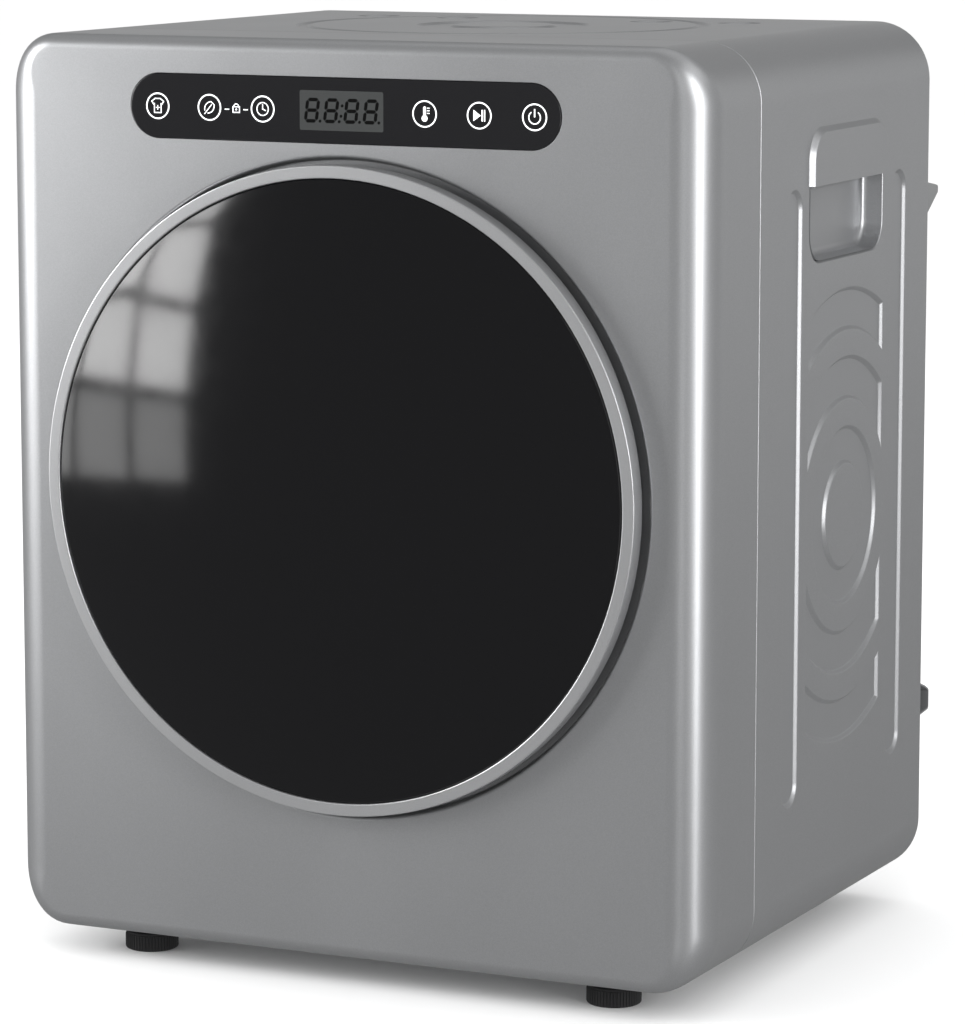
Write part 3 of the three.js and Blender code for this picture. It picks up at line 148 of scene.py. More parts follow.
SPACER_SHEET = 1.2
LOUVRE_ROWS = 15
INK_LIFT = 0.06  # printed marks stand this far in front of the fascia
ICONS = {"garment": -129.3, "leaf": -92.4, "clock": -54.8, "heat": 57.1, "play": 94.0, "power": 131.0}
PADLOCK_X = -73.4

DRUM_SHEET = 1.2
HOLE_PITCH = 17  # the drum shell's holes, in both directions
LIFTERS = 3

QUARTER = math.pi / 2
TINY = 0.01  # radius of a turned shape's end on its axis


# ---- meshes ----
class Skin:
    """Collects points and faces in millimetres. Points that coincide are merged when it is made."""

    def __init__(self):
        self.points, self.faces = [], []

    def add(self, points):
        first = len(self.points)
        self.points += [tuple(p) for p in points]
        return list(range(first, len(self.points)))

    def face(self, points):
        self.faces.append(self.add(points))

    def strip(self, a, b, closed=True):
        """Quads between two lines of equally many points."""
        ia, ib = self.add(a), self.add(b)
        count = len(a)
        for i in range(count if closed else count - 1):
            j = (i + 1) % count
            self.faces.append([ia[i], ia[j], ib[j], ib[i]])

    def strips(self, loops, closed=True):
        for a, b in zip(loops, loops[1:]):
            self.strip(a, b, closed)

    def fill(self, lay, w, outer, holes=()):
        """A flat face at depth w inside one outline and outside the holes."""
        flat, edges = [], []
        for outline in (outer, *holes):
            first = len(flat)
            flat += [Vector(p) for p in outline]
            edges += [(first + i, first + (i + 1) % len(outline)) for i in range(len(outline))]
        points, _, triangles, *_ = delaunay_2d_cdt(flat, edges, [], 0, 1e-6)
        index = self.add([lay(p, w) for p in points])
        for tri in triangles:
            centre = sum((points[i] for i in tri), Vector((0, 0))) / len(tri)
            if inside(centre, outer) and not any(inside(centre, h) for h in holes):
                self.faces.append([index[i] for i in tri])


def inside(p, outline):
    hit = False
    for (u0, v0), (u1, v1) in zip(outline, outline[1:] + outline[:1]):
        if (v0 > p[1]) != (v1 > p[1]) and p[0] < u0 + (p[1] - v0) * (u1 - u0) / (v1 - v0):
            hit = not hit
    return hit


def linked(name, data):
    """A new object in the scene."""
    obj = bpy.data.objects.new(name, data)
    bpy.context.scene.collection.objects.link(obj)
    return obj


def mesh_of(name, skin, smooth_angle):
    """The skin in metres, with its coinciding points merged and its faces turned outwards."""
    mesh = bpy.data.meshes.new(name)
    places = [(x * MM, y * MM + FACE_Y, z * MM) for x, y, z in skin.points]
    mesh.from_pydata(places, [], skin.faces)
    bm = bmesh.new()
    bm.from_mesh(mesh)
    bmesh.ops.remove_doubles(bm, verts=bm.verts, dist=1e-6)
    bmesh.ops.dissolve_degenerate(bm, dist=1e-7, edges=bm.edges)
    bmesh.ops.recalc_face_normals(bm, faces=bm.faces)
    bm.to_mesh(mesh)
    bm.free()
    mesh.polygons.foreach_set("use_smooth", [True] * len(mesh.polygons))
    mesh.set_sharp_from_angle(angle=math.radians(smooth_angle))
    return mesh


def piece(name, skin, body, slot, replaces=(), smooth_angle=32, material=None):
    """A visible piece on a body, in its slot's material unless another is given."""
    obj = linked(name, mesh_of(name, skin, smooth_angle))
    obj.data.materials.append(material or SLOT_MATERIALS[slot])
    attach(obj, body)
    if replaces:
        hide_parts(*replaces)
    weighted = obj.modifiers.new("weighted", "WEIGHTED_NORMAL")
    weighted.weight = 100
    weighted.keep_sharp = True
    return obj


def cut_away(obj, skin, smooth_angle=32):
    """Takes a closed skin's volume out of a piece, for good."""
    cutter = linked("cutter", mesh_of("cutter", skin, 30))
    modifier = obj.modifiers.new("cut", "BOOLEAN")
    modifier.object = cutter
    modifier.operation = "DIFFERENCE"
    modifier.solver = "EXACT"
    bpy.context.view_layer.update()
    evaluated = obj.evaluated_get(bpy.context.evaluated_depsgraph_get())
    result = bpy.data.meshes.new_from_object(evaluated)
    obj.modifiers.clear()
    obj.data = result
    bpy.data.objects.remove(cutter)
    result.set_sharp_from_angle(angle=math.radians(smooth_angle))


# A place on the front, the top or a side, from a flat point and its depth below that face.
def facing(p, w):
    return (p[0], w, p[1])


def on_top(p, w):
    return (p[0], p[1], TOP - w)


def on_side(sign):
    return lambda p, w: (sign * (HALF - w), p[0], p[1])


def laid(outline, w, lay=facing):
    return [lay(p, w) for p in outline]


# ---- outlines ----
def quarter_turn(steps):
    """Angles from 0 to a right angle."""
    return [QUARTER * i / steps for i in range(steps + 1)]


def quarter_round(radius, steps):
    """Points of a rounded edge, from (radius, 0) to (0, radius), bulging towards (0, 0)."""
    return [(radius * (1 - math.sin(a)), radius * (1 - math.cos(a))) for a in quarter_turn(steps)]


def arc(u, v, radius, start, end, steps):
    angles = [start + (end - start) * i / steps for i in range(steps + 1)]
    return [(u + radius * math.cos(a), v + radius * math.sin(a)) for a in angles]


def circle(u, v, radius, steps=64):
    return arc(u, v, radius, 0, 2 * math.pi, steps)[:-1]


def oblong(u0, v0, u1, v1):
    return [(u0, v0), (u1, v0), (u1, v1), (u0, v1)]


def rounded_rect(u0, v0, u1, v1, radii, steps=10):
    """Anticlockwise; radii are lower right, upper right, upper left, lower left."""
    corners = ((u1, v0, -1, 1), (u1, v1, -1, -1), (u0, v1, 1, -1), (u0, v0, 1, 1))
    points = []
    for i, ((u, v, du, dv), r) in enumerate(zip(corners, radii)):
        start = (i - 1) * QUARTER
        points += arc(u + du * r, v + dv * r, r, start, start + QUARTER, steps) if r > 0 else [(u, v)]
    return [p for p, q in zip(points, points[1:] + points[:1]) if math.dist(p, q) > 1e-6]


def cabinet_outline(inset):
    r = CORNER_RADIUS - inset
    low, high = BOTTOM + inset, TOP - inset
    return rounded_rect(-HALF + inset, low, HALF - inset, high, (r,) * 4, CORNER_STEPS)


def pill_outline(grow, steps=24):
    r = PILL_RADIUS + grow
    return rounded_rect(-PILL_HALF - grow, PILL_Z - r, PILL_HALF + grow, PILL_Z + r, (r,) * 4, steps)


def display_outline(grow):
    low, high = DISPLAY_LOW, DISPLAY_HIGH
    r = 1.2 + grow
    return rounded_rect(low[0] - grow, low[2] - grow, high[0] + grow, high[2] + grow, (r,) * 4, 4)


def pad_outline(grow):
    r = PAD_CORNER + grow
    return rounded_rect(HANDLE_FRONT - grow, LIP_Z, HANDLE_REAR + grow, PAD_TOP + grow, (0, r, r, 0))


def pocket_outline(inset):
    r = POCKET_CORNER - inset
    low, high = POCKET_BOTTOM + inset, LIP_Z - inset
    return rounded_rect(HANDLE_FRONT + inset, low, HANDLE_REAR - inset, high, (r, 0, 0, r))


def pocket_rim(grow):
    """The pocket's edge below the lip, from the lip's front end round to its rear end."""
    r = POCKET_CORNER + grow
    front, low = HANDLE_FRONT - grow, POCKET_BOTTOM - grow
    rim = rounded_rect(front, low, HANDLE_REAR + grow, LIP_Z, (r, 0, 0, r))
    start = min(range(len(rim)), key=lambda i: math.dist(rim[i], (front, LIP_Z)))
    return rim[start:] + rim[:start]


# These return an outline as a function of how far it has grown.
def groove_outline(u):
    def outline(grow):
        r = GROOVE_WIDTH / 2 + grow
        return rounded_rect(u - r, GROOVE_BOTTOM - grow, u + r, GROOVE_TOP + grow, (r,) * 4, 12)

    return outline


def band_outline(radii, u, v, upward):
    def outline(grow):
        half = BAND_HALF_WIDTH + grow
        low, high = radii[0] - grow, radii[1] + grow

        def edge(radius):
            return math.acos(min(0.9998, half / radius))

        points = arc(0, 0, high, edge(high), math.pi - edge(high), 28)
        points += arc(0, 0, low, math.pi - edge(low), edge(low), 28)
        return [(u + a, v + (b if upward else -b)) for a, b in points]

    return outline


def round_outline(u, v, radius, sign=1, steps=72):
    return lambda grow: circle(u, v, radius + sign * grow, steps)


def eased(share, bend=0.22):
    """From 0 to 1 in a straight slope with a short bend at each end."""
    if share > 0.5:
        return 1 - eased(1 - share, bend)
    slope = 1 / (1 - bend)
    return slope * share**2 / (2 * bend) if share < bend else slope * (share - bend / 2)


def press(skin, lay, outlines, depth=PRESS_DEPTH):
    """Walls and floor of a pressing with one outline, or with an outer and an inner one.
    Returns the outlines that the flat face around it is cut along."""
    edges = []
    for outline in outlines:
        loops = []
        for i in range(PRESS_STEPS + 1):
            share = i / PRESS_STEPS
            grow = PRESS_START - (PRESS_START + PRESS_FLANK) * share
            loops.append(laid(outline(grow), depth * eased(share), lay))
        skin.strips(loops)
        edges.append(outline(PRESS_START))
    floor = [outline(-PRESS_FLANK) for outline in outlines]
    skin.fill(lay, depth, floor[0], floor[1:])
    return edges


def press_ring(skin, lay, centre, radii, depth=PRESS_DEPTH, steps=72):
    """A ring-shaped pressing. Returns its outer edge and its inner one."""
    inner, outer = radii
    outlines = [round_outline(*centre, outer, 1, steps), round_outline(*centre, inner, -1, steps)]
    return press(skin, lay, outlines, depth)


# ---- turned and flat shapes ----
def softened(profile, radius, steps=5, closed=False):
    """A profile of [r, y] points with its corners rounded."""
    result = []
    count = len(profile)
    for i, corner in enumerate(profile):
        if not closed and i in (0, count - 1):
            result.append(tuple(corner))
            continue
        here = Vector(corner)
        before = Vector(profile[i - 1]) - here
        after = Vector(profile[(i + 1) % count]) - here
        turn = before.angle(after)
        reach = min(radius / math.tan(turn / 2), before.length * 0.45, after.length * 0.45)
        start, end = here + before.normalized() * reach, here + after.normalized() * reach
        for k in range(steps + 1):
            t = k / steps
            p = start * (1 - t) ** 2 + here * 2 * t * (1 - t) + end * t * t
            result.append(tuple(p))
    return result


def turned(skin, profile, x, z, facets, closed=False):
    """Turns [radius, y] points about a line along Y through (x, z)."""
    angles = [2 * math.pi * i / facets for i in range(facets)]
    loops = [[(x + r * math.cos(a), y, z + r * math.sin(a)) for a in angles] for r, y in profile]
    if closed:
        loops.append(loops[0])
    skin.strips(loops)


def lathe(name, profile, body, slot, node, radius, closed=False, facets=128, material=None):
    """A piece turned about the door's axis, with its corners rounded, in place of a CAD node."""
    skin = Skin()
    turned(skin, softened(profile, radius, closed=closed), 0, DOOR_Z, facets, closed)
    return piece(name, skin, body, slot, (node,), material=material)


def block(skin, x, y, z):
    corners = [(a, b, c) for a in x for b in y for c in z]
    for face in ((0, 1, 3, 2), (4, 6, 7, 5), (0, 4, 5, 1), (2, 3, 7, 6), (0, 2, 6, 4), (1, 5, 7, 3)):
        skin.face([corners[i] for i in face])


def slab(skin, outline, y0, y1, holes=()):
    """A flat outline in the front's plane, given thickness along Y."""
    for y in (y0, y1):
        skin.fill(facing, y, outline, holes)
    for line in (outline, *holes):
        skin.strip(laid(line, y0), laid(line, y1))


# ---- materials ----
class Finish:
    """A material, its surface shader's inputs, and the nodes that the materials below share."""

    def __init__(self, name, color, metallic, roughness):
        self.material = bpy.data.materials.new(name)
        self.material.use_nodes = True
        self.tree = self.material.node_tree
        self.inputs = self.tree.nodes["Principled BSDF"].inputs
        self.color, self.roughness = color, roughness
        self.set(Metallic=metallic, Roughness=roughness)
        self.inputs["Base Color"].default_value = (*color, 1)

    def set(self, **values):
        fill_inputs(self.inputs, values)

    def node(self, kind, **values):
        made = self.tree.nodes.new(f"ShaderNode{kind}")
        fill_inputs(made.inputs, values)
        return made

    def link(self, output, target):
        self.tree.links.new(output, target)

    def place(self, stretch=(1, 1, 1)):
        """Object coordinates, stretched along the axes."""
        mapping = self.node("Mapping", Scale=stretch)
        self.link(self.node("TexCoord").outputs["Object"], mapping.inputs["Vector"])
        return mapping.outputs["Vector"]

    def noise(self, scale, detail=3.0, rough=0.55, stretch=(1, 1, 1)):
        node = self.node("TexNoise", Scale=scale, Detail=detail, Roughness=rough)
        self.link(self.place(stretch), node.inputs["Vector"])
        return node.outputs["Fac"]

    def roughen(self, value, less, more):
        """Roughness that follows a value, between so much below and above the material's own."""
        low, high = self.roughness + less, self.roughness + more
        node = self.node("MapRange", From_Min=0.25, From_Max=0.75, To_Min=low, To_Max=high)
        self.link(value, node.inputs["Value"])
        self.link(node.outputs["Result"], self.inputs["Roughness"])

    def ramp(self, value, dark, light, start=0.0, end=1.0):
        """Base colour that follows a value."""
        node = self.node("ValToRGB")
        for element, position, color in zip(node.color_ramp.elements, (start, end), (dark, light)):
            element.position = position
            element.color = (*color, 1)
        self.link(value, node.inputs["Fac"])
        self.link(node.outputs["Color"], self.inputs["Base Color"])

    def tint(self, value, change):
        """Base colour up to a share darker and lighter than the material's own."""
        self.ramp(value, *shades(self.color, change), 0.3, 0.7)

    def bump(self, value, strength, distance):
        node = self.node("Bump", Strength=strength, Distance=distance)
        self.link(value, node.inputs["Height"])
        self.link(node.outputs["Normal"], self.inputs["Normal"])


def fill_inputs(inputs, values):
    """Sets sockets by name, with an underscore for each space."""
    for name, value in values.items():
        inputs[name.replace("_", " ")].default_value = value


def shades(color, change):
    return tuple(c * (1 - change) for c in color), tuple(c * (1 + change) for c in color)


def satin_paint(name, color, metallic, roughness):
    """Silver paint: fine metal flake, and slow clouding drawn out upwards."""
    paint = Finish(name, color, metallic, roughness)
    flake = paint.noise(1900, 2.0)
    paint.tint(flake, 0.07)
    paint.roughen(paint.noise(1.4, stretch=(6, 6, 2.5)), -0.025, 0.03)
    paint.bump(flake, 0.11, 0.00006)
    paint.set(Coat_Weight=0.12, Coat_Roughness=0.28)
    return paint.material


def brushed_metal(name, color, roughness, stretch):
    metal = Finish(name, color, 1.0, roughness)
    lines = metal.noise(1.0, 4.0, 0.7, stretch)
    metal.tint(lines, 0.12)
    metal.roughen(lines, -0.06, 0.08)
    metal.bump(lines, 0.25, 0.00004)
    return metal.material


def spangled_zinc(name, color, roughness):
    """Zinc-coated sheet with its crystal spangle."""
    zinc = Finish(name, color, 0.9, roughness)
    cells = zinc.node("TexVoronoi", Scale=210)
    zinc.link(zinc.place(), cells.inputs["Vector"])
    grey = zinc.node("RGBToBW")
    zinc.link(cells.outputs["Color"], grey.inputs["Color"])
    zinc.tint(grey.outputs["Val"], 0.045)
    zinc.roughen(grey.outputs["Val"], -0.03, 0.03)
    return zinc.material


def grained_plastic(name, color, roughness, grain=900, reflectance=0.5):
    plastic = Finish(name, color, 0.0, roughness)
    fine = plastic.noise(grain)
    plastic.tint(plastic.noise(18, 2.0), 0.06)
    plastic.roughen(fine, -0.06, 0.06)
    plastic.bump(fine, 0.35, 0.00005)
    plastic.set(Specular_IOR_Level=reflectance)
    return plastic.material


def gloss_black(name, color, roughness, reflectance=0.42):
    """Polished black: hardly any grain, with a faint wave that softens reflections."""
    black = Finish(name, color, 0.0, roughness)
    black.bump(black.noise(7, 1.0), 0.04, 0.002)
    black.roughen(black.noise(60), 0, 0.025)
    black.set(Specular_IOR_Level=reflectance)
    return black.material


def matt_rubber(name, color):
    rubber = Finish(name, color, 0.0, 0.7)
    fine = rubber.noise(1400, 4.0)
    rubber.tint(fine, 0.2)
    rubber.roughen(fine, -0.12, 0.08)
    rubber.bump(fine, 0.5, 0.0001)
    return rubber.material


def wool_felt(name, color):
    felt = Finish(name, color, 0.0, 0.95)
    fibres = felt.noise(2200, 6.0, 0.8, (1, 0.3, 1))
    felt.tint(fibres, 0.25)
    felt.bump(fibres, 0.8, 0.0006)
    felt.set(Sheen_Weight=0.4)
    return felt.material


def holed_steel(name, color, roughness):
    """Drum sheet: brushed along its length, with a regular grid of small holes in its UV map, painted
    near-black as the shade seen through them.
    """
    steel = Finish(name, color, 1.0, roughness)
    steel.roughen(steel.noise(1.0, 4.0, 0.7, (900, 12, 900)), -0.05, 0.08)
    uv = steel.node("UVMap")
    uv.uv_map = "unrolled"
    hole_shade_spots = steel.node("TexVoronoi")
    hole_shade_spots.voronoi_dimensions = "2D"
    fill_inputs(hole_shade_spots.inputs, {"Scale": 1 / (HOLE_PITCH * MM), "Randomness": 0})
    steel.link(uv.outputs["UV"], hole_shade_spots.inputs["Vector"])
    hole = steel.node("MapRange", From_Min=0.10, From_Max=0.16)
    steel.link(hole_shade_spots.outputs["Distance"], hole.inputs["Value"])
    # painted shade: the holes are near-black, standing for the dark space behind the sheet
    steel.ramp(hole.outputs["Result"], (0.004, 0.004, 0.004), color)
    steel.bump(hole.outputs["Result"], 0.6, 0.0006)
    return steel.material


def woven_mesh(name, color):
    mesh = Finish(name, color, 0.1, 0.7)
    colors = {"Color1": (*color, 1), "Color2": (*shades(color, 0.2)[1], 1)}
    weave = mesh.node("TexBrick", Scale=900, Mortar_Size=0.03, **colors)
    weave.offset = 0
    mesh.link(mesh.place(), weave.inputs["Vector"])
    mesh.link(weave.outputs["Color"], mesh.inputs["Base Color"])
    mesh.bump(weave.outputs["Fac"], 0.6, 0.0003)
    return mesh.material


def glowing_print_ink(name, color, glow):
    ink = Finish(name, color, 0.0, 0.5)
    ink.roughen(ink.noise(3000, 2.0), -0.08, 0.05)
    # the emission is a painted glow on the print; no lamp lights it
    ink.set(Emission_Color=(*color, 1), Emission_Strength=glow)
    return ink.material


SILVER = (0.40, 0.405, 0.415)
SLOT_MATERIALS = {
    "cabinet_paint": satin_paint("cabinet_silver", SILVER, 0.82, 0.40),
    "front_paint": satin_paint("front_silver", SILVER, 0.82, 0.38),
    "satin_ring": satin_paint("ring_satin", (0.53, 0.535, 0.545), 0.82, 0.33),
    "black_gloss": gloss_black("panel_black", (0.008, 0.008, 0.009), 0.09),
    "door_glass": gloss_black("dome_black_glass", (0.002, 0.002, 0.0025), 0.09, 0.5),
    "display": gloss_black("display_grey", (0.040, 0.042, 0.042), 0.16),
    "dark_plastic": grained_plastic("dark_plastic", (0.018, 0.019, 0.02), 0.45),
    "grey_plastic": grained_plastic("grey_plastic", (0.30, 0.31, 0.315), 0.5),
    "white_plastic": grained_plastic("white_plastic", (0.66, 0.66, 0.65), 0.45),
    "zinc": spangled_zinc("zinc_sheet", (0.47, 0.48, 0.49), 0.42),
    "stainless": brushed_metal("stainless", (0.62, 0.63, 0.64), 0.24, (900, 12, 900)),
    "aluminium": brushed_metal("cast_aluminium", (0.55, 0.55, 0.56), 0.48, (220, 220, 220)),
    "copper_coil": brushed_metal("heating_fins", (0.32, 0.33, 0.34), 0.5, (700, 700, 60)),
    "rubber": matt_rubber("black_rubber", (0.014, 0.014, 0.015)),
    "felt": wool_felt("wool_felt", (0.27, 0.24, 0.2)),
    "filter_mesh": woven_mesh("filter_mesh", (0.13, 0.19, 0.26)),
    "board": grained_plastic("solder_mask", (0.015, 0.09, 0.035), 0.35, 400),
}
DRUM_STEEL = holed_steel("drum_steel", (0.60, 0.61, 0.62), 0.26)
HOOD_METAL = satin_paint("hood_satin", (0.33, 0.335, 0.34), 0.7, 0.42)
ICON_WHITE = glowing_print_ink("icon_white", (0.95, 0.96, 0.97), 0.55)
# near-black of the display's digits, used too as the painted shade in the drum back's holes
DIGIT_AND_HOLE_SHADE_BLACK = grained_plastic("digit_black_and_hole_shade", (0.0015, 0.0015, 0.0015), 0.75, 1200, 0.1)


def dress_frame():
    """Every CAD node that stays gets its slot's material."""
    slots = {row["node"]: row["material_slot"] for row in frame["record"]["subparts"]}
    for name, obj in frame["nodes"].items():
        obj.data.materials.clear()
        obj.data.materials.append(SLOT_MATERIALS[slots[name]])


# ---- cabinet ----
def front_panel():
    outline = cabinet_outline(0)
    corner_shares = [i / CORNER_STEPS for i in range(CORNER_STEPS + 1)]
    angles = [(corner - 1 + share) * QUARTER for corner in range(4) for share in corner_shares]

    def rounding(turn):
        loop = []
        for (u, v), angle in zip(outline, angles):
            share = math.cos(angle) ** 2
            radius = TOP_EDGE_RADIUS + (SIDE_EDGE_RADIUS - TOP_EDGE_RADIUS) * share
            back = radius * (1 - math.cos(turn))
            depth = radius * (1 - math.sin(turn))
            loop.append((u - back * math.cos(angle), depth, v - back * math.sin(angle)))
        return loop

    skin = Skin()
    inner = laid(cabinet_outline(SEAM_ROLL + 1.5), SEAM)
    roll = [laid(cabinet_outline(inset), SEAM - back) for inset, back in quarter_round(SEAM_ROLL, 3)]
    skin.strips([inner] + roll + [rounding(turn) for turn in quarter_turn(14)])
    face = [(x, z) for x, _, z in rounding(QUARTER)]
    lip = circle(0, DOOR_Z, DISH_RADIUS + DISH_LIP, 160)
    pill_recess = ((0.9, 0), (0.5, 0.15), (0.35, 0.6), (0.35, 3))  # gap round the pill and depth
    skin.fill(facing, 0, face, (lip, pill_outline(pill_recess[0][0])))
    skin.strips([laid(pill_outline(gap), y) for gap, y in pill_recess])
    dish = [
        (DISH_RADIUS, DISH_LIP),
        (DISH_RADIUS, DISH_DEPTH),
        (OPENING_RADIUS, DISH_DEPTH),
        (OPENING_RADIUS, 10.5),
    ]
    profile = [(DISH_RADIUS + out, y) for out, y in quarter_round(DISH_LIP, 8)] + softened(dish, 1.5)[1:]
    turned(skin, profile, 0, DOOR_Z, 160)
    piece("front_panel_skin", skin, "cabinet", "front_paint", ("front_panel",), 40)


def side_pattern(skin, sign):
    lay = on_side(sign)
    holes = []
    for radii in BANDS:
        for upward in (True, False):
            holes += press(skin, lay, [band_outline(radii, PATTERN_Y, PATTERN_Z, upward)])
    outer, inner = press_ring(skin, lay, (PATTERN_Y, PATTERN_Z), RING_PRESSING)
    holes.append(outer)
    skin.fill(lay, 0, inner)
    for offset in (-GROOVE_OFFSET, GROOVE_OFFSET):
        holes += press(skin, lay, [groove_outline(PATTERN_Y + offset)])
    holes.append(grip_pad(skin, lay))
    return holes


def grip_pad(skin, lay):
    """The raised pad over the pocket. Its lower edge is the lip. Returns the hole for pad and pocket."""
    steps = 8
    loops, foot_line = [], []
    for i in range(steps + 1):
        share = i / steps
        grow = PAD_FLANK * (1 - share)
        height = -PAD_PROUD * eased(share)
        loops.append(laid(pad_outline(grow), height, lay))
        foot_line.append((grow, height))
    skin.strips(loops, closed=False)
    skin.fill(lay, -PAD_PROUD, pad_outline(0))
    for u, way in ((HANDLE_FRONT, -1), (HANDLE_REAR, 1)):
        end = [lay((u + way * grow, LIP_Z), height) for grow, height in foot_line]
        skin.face(end + [lay((u, LIP_Z), 0)])
    ends = [(HANDLE_FRONT, LIP_Z), (HANDLE_REAR, LIP_Z)]
    skin.strip(laid(ends, -PAD_PROUD, lay), laid(ends, 1.2, lay), closed=False)
    rims = [
        laid(pocket_rim(POCKET_ROLL * (1 - i / 6)), POCKET_ROLL * eased(i / 6, 0.1), lay)
        for i in range(7)
    ]
    skin.strips(rims, closed=False)
    return pocket_rim(POCKET_ROLL) + pad_outline(PAD_FLANK)


def press_dimples(skin, x, y):
    """A pair of round dimples in the top, left and right of the middle."""
    edges = []
    for sign in (-1, 1):
        edges += press(skin, on_top, [round_outline(sign * x, y, DIMPLE_RADIUS, 1, 40)])
    return edges


def top_pattern(skin):
    """Two rings, with one pair of dimples between them and another outside. Returns the holes."""
    centre = (0, PATTERN_Y)
    small, core = press_ring(skin, on_top, centre, TOP_RINGS[0], TOP_RING_DEPTH)
    skin.fill(on_top, 0, core)
    outer, inner = press_ring(skin, on_top, centre, TOP_RINGS[1], TOP_RING_DEPTH, 120)
    skin.fill(on_top, 0, inner, [small] + press_dimples(skin, *TOP_DIMPLES[0]))
    return [outer] + press_dimples(skin, *TOP_DIMPLES[1])


def cabinet_wrap():
    skin = Skin()
    front, rear = WRAP_FRONT + SEAM_ROLL, REAR - REAR_ROLL
    for sign in (1, -1):
        holes = side_pattern(skin, sign)
        outer = oblong(front, BOTTOM + CORNER_RADIUS, rear, TOP - CORNER_RADIUS)
        skin.fill(on_side(sign), 0, outer, holes)
    edge = HALF - CORNER_RADIUS
    skin.fill(on_top, 0, oblong(-edge, front, edge, rear), top_pattern(skin))

    def section(inset, y):
        """From the right return under the cabinet over the top to the left return."""
        low = BOTTOM + inset
        return laid([(RETURN_EDGE, low), *cabinet_outline(inset), (-RETURN_EDGE, low)], y)

    front_edge = [section(inset, WRAP_FRONT + back) for inset, back in quarter_round(SEAM_ROLL, 3)]
    skin.strips([section(2.4, WRAP_FRONT)] + front_edge, closed=False)
    rear_edge = [section(inset, REAR - ahead) for ahead, inset in quarter_round(REAR_ROLL, 3)]
    skin.strips(rear_edge + [section(1.2, REAR), section(1.2, REAR - 14)], closed=False)
    # the rounded corners and the returns under the cabinet
    front_line, rear_line = section(0, front), section(0, rear)
    corner = (len(front_line) - 2) // 4
    lasts = [corner, 2 * corner, 3 * corner, 4 * corner + 1]
    firsts = [0] + [last + 1 for last in lasts[:-1]]
    for first, last in zip(firsts, lasts):
        skin.strip(front_line[first : last + 1], rear_line[first : last + 1], closed=False)
    piece("cabinet_wrap_skin", skin, "cabinet", "cabinet_paint", ("cabinet_wrap",), 40)


def grip_cup(side, sign):
    lay = on_side(sign)
    skin = Skin()
    gap, fillet = 0.9, 5
    path = [(0.35, 0.1), (0.35, 1.2)]
    path += [(gap + inset, POCKET_DEPTH - up) for up, inset in quarter_round(fillet, 6)]
    skin.strips([laid(pocket_outline(inset), w, lay) for inset, w in path])
    skin.fill(lay, POCKET_DEPTH, pocket_outline(path[-1][0]))
    piece(f"grip_cup_{side}", skin, "cabinet", "front_paint", (f"handle_cup_{side}",), 50)


def foot(corner):
    """Ribbed levelling foot on its stem."""
    low, high = box_mm(f"foot_{corner}")
    x, y = (low[0] + high[0]) / 2, (low[1] + high[1]) / 2
    radius = (high[0] - low[0]) / 2
    count = 52 * 4  # two points of each rib stand out and two lie back
    skin = Skin()

    def loop(r, z, depth=0.0):
        points = []
        for i in range(count):
            angle = 2 * math.pi * i / count
            inner = depth if i % 4 in (0, 1) else 0
            points.append((x + (r - inner) * math.cos(angle), y + (r - inner) * math.sin(angle), z))
        return points

    stem, tip = BOTTOM - 0.6, high[2]
    sole = [(TINY, 0), (radius - 1.4, 0)]
    ribs = [
        (radius - 0.5, 0.5, 0.2),
        (radius - 0.1, 1.3, 0.8),
        (radius - 0.1, 9.4, 0.8),
        (radius - 0.5, 10.2, 0.4),
    ]
    cap = [(radius - 1.2, 10.6), (radius - 1.2, 11.4), (radius - 2, 12), (11.5, 12.4), (11, 13), (11, stem)]
    thread = [(4, stem), (4, tip - 1), (3.2, tip), (TINY, tip)]
    skin.strips([loop(*row) for row in sole + ribs + cap + thread])
    piece(f"levelling_foot_{corner}", skin, f"leveller_{corner}", "rubber", (f"foot_{corner}",), 30)


def exhaust_hood():
    """Sheet hood open upwards, rounded in plan, its underside rising towards the rim."""
    low, high = box_mm("exhaust_hood")
    wall = 1.8
    bend = 0.6  # height of the rounding at the rim
    base = low[1]
    reach = high[1] - base
    least_reach = 8
    rise = 16
    skin = Skin()

    def loop(share, z, inset):
        out = least_reach + (reach - least_reach) * share
        radius = min(30, out / 2)
        corners = (0, radius, radius, 0)
        plan = rounded_rect(low[0] + inset, base, high[0] - inset, base + out - inset, corners, 12)
        return [(u, v, z) for u, v in plan]

    def rim(x, y):
        """The rim's height: it falls away outwards and to the right."""
        across = (x - low[0]) / (high[0] - low[0])
        out = (y - base) / reach
        return high[2] - 10 * across - 14 * out + 6 * across * out

    def at_rim(inset, below):
        return [(x, y, rim(x, y) - below) for x, y, _ in loop(1, 0, inset)]

    def under_rim(points):
        return [(x, y, min(z, rim(x, y))) for x, y, z in points]

    levels = [i / 8 for i in range(9)]
    outside = [loop(s, low[2] + rise * s, 0) for s in levels] + [at_rim(0, bend)]
    crest = [at_rim(inset, 0) for inset in (0.5, wall - 0.5)]
    inner = [at_rim(wall, bend)]
    inner += [under_rim(loop(s, low[2] + rise * s + wall, wall)) for s in reversed(levels)]
    skin.strips(outside + crest + inner, closed=False)
    skin.face(outside[0])
    skin.face(inner[-1])
    piece("exhaust_hood_shell", skin, "cabinet", "grey_plastic", ("exhaust_hood",), 40, HOOD_METAL)


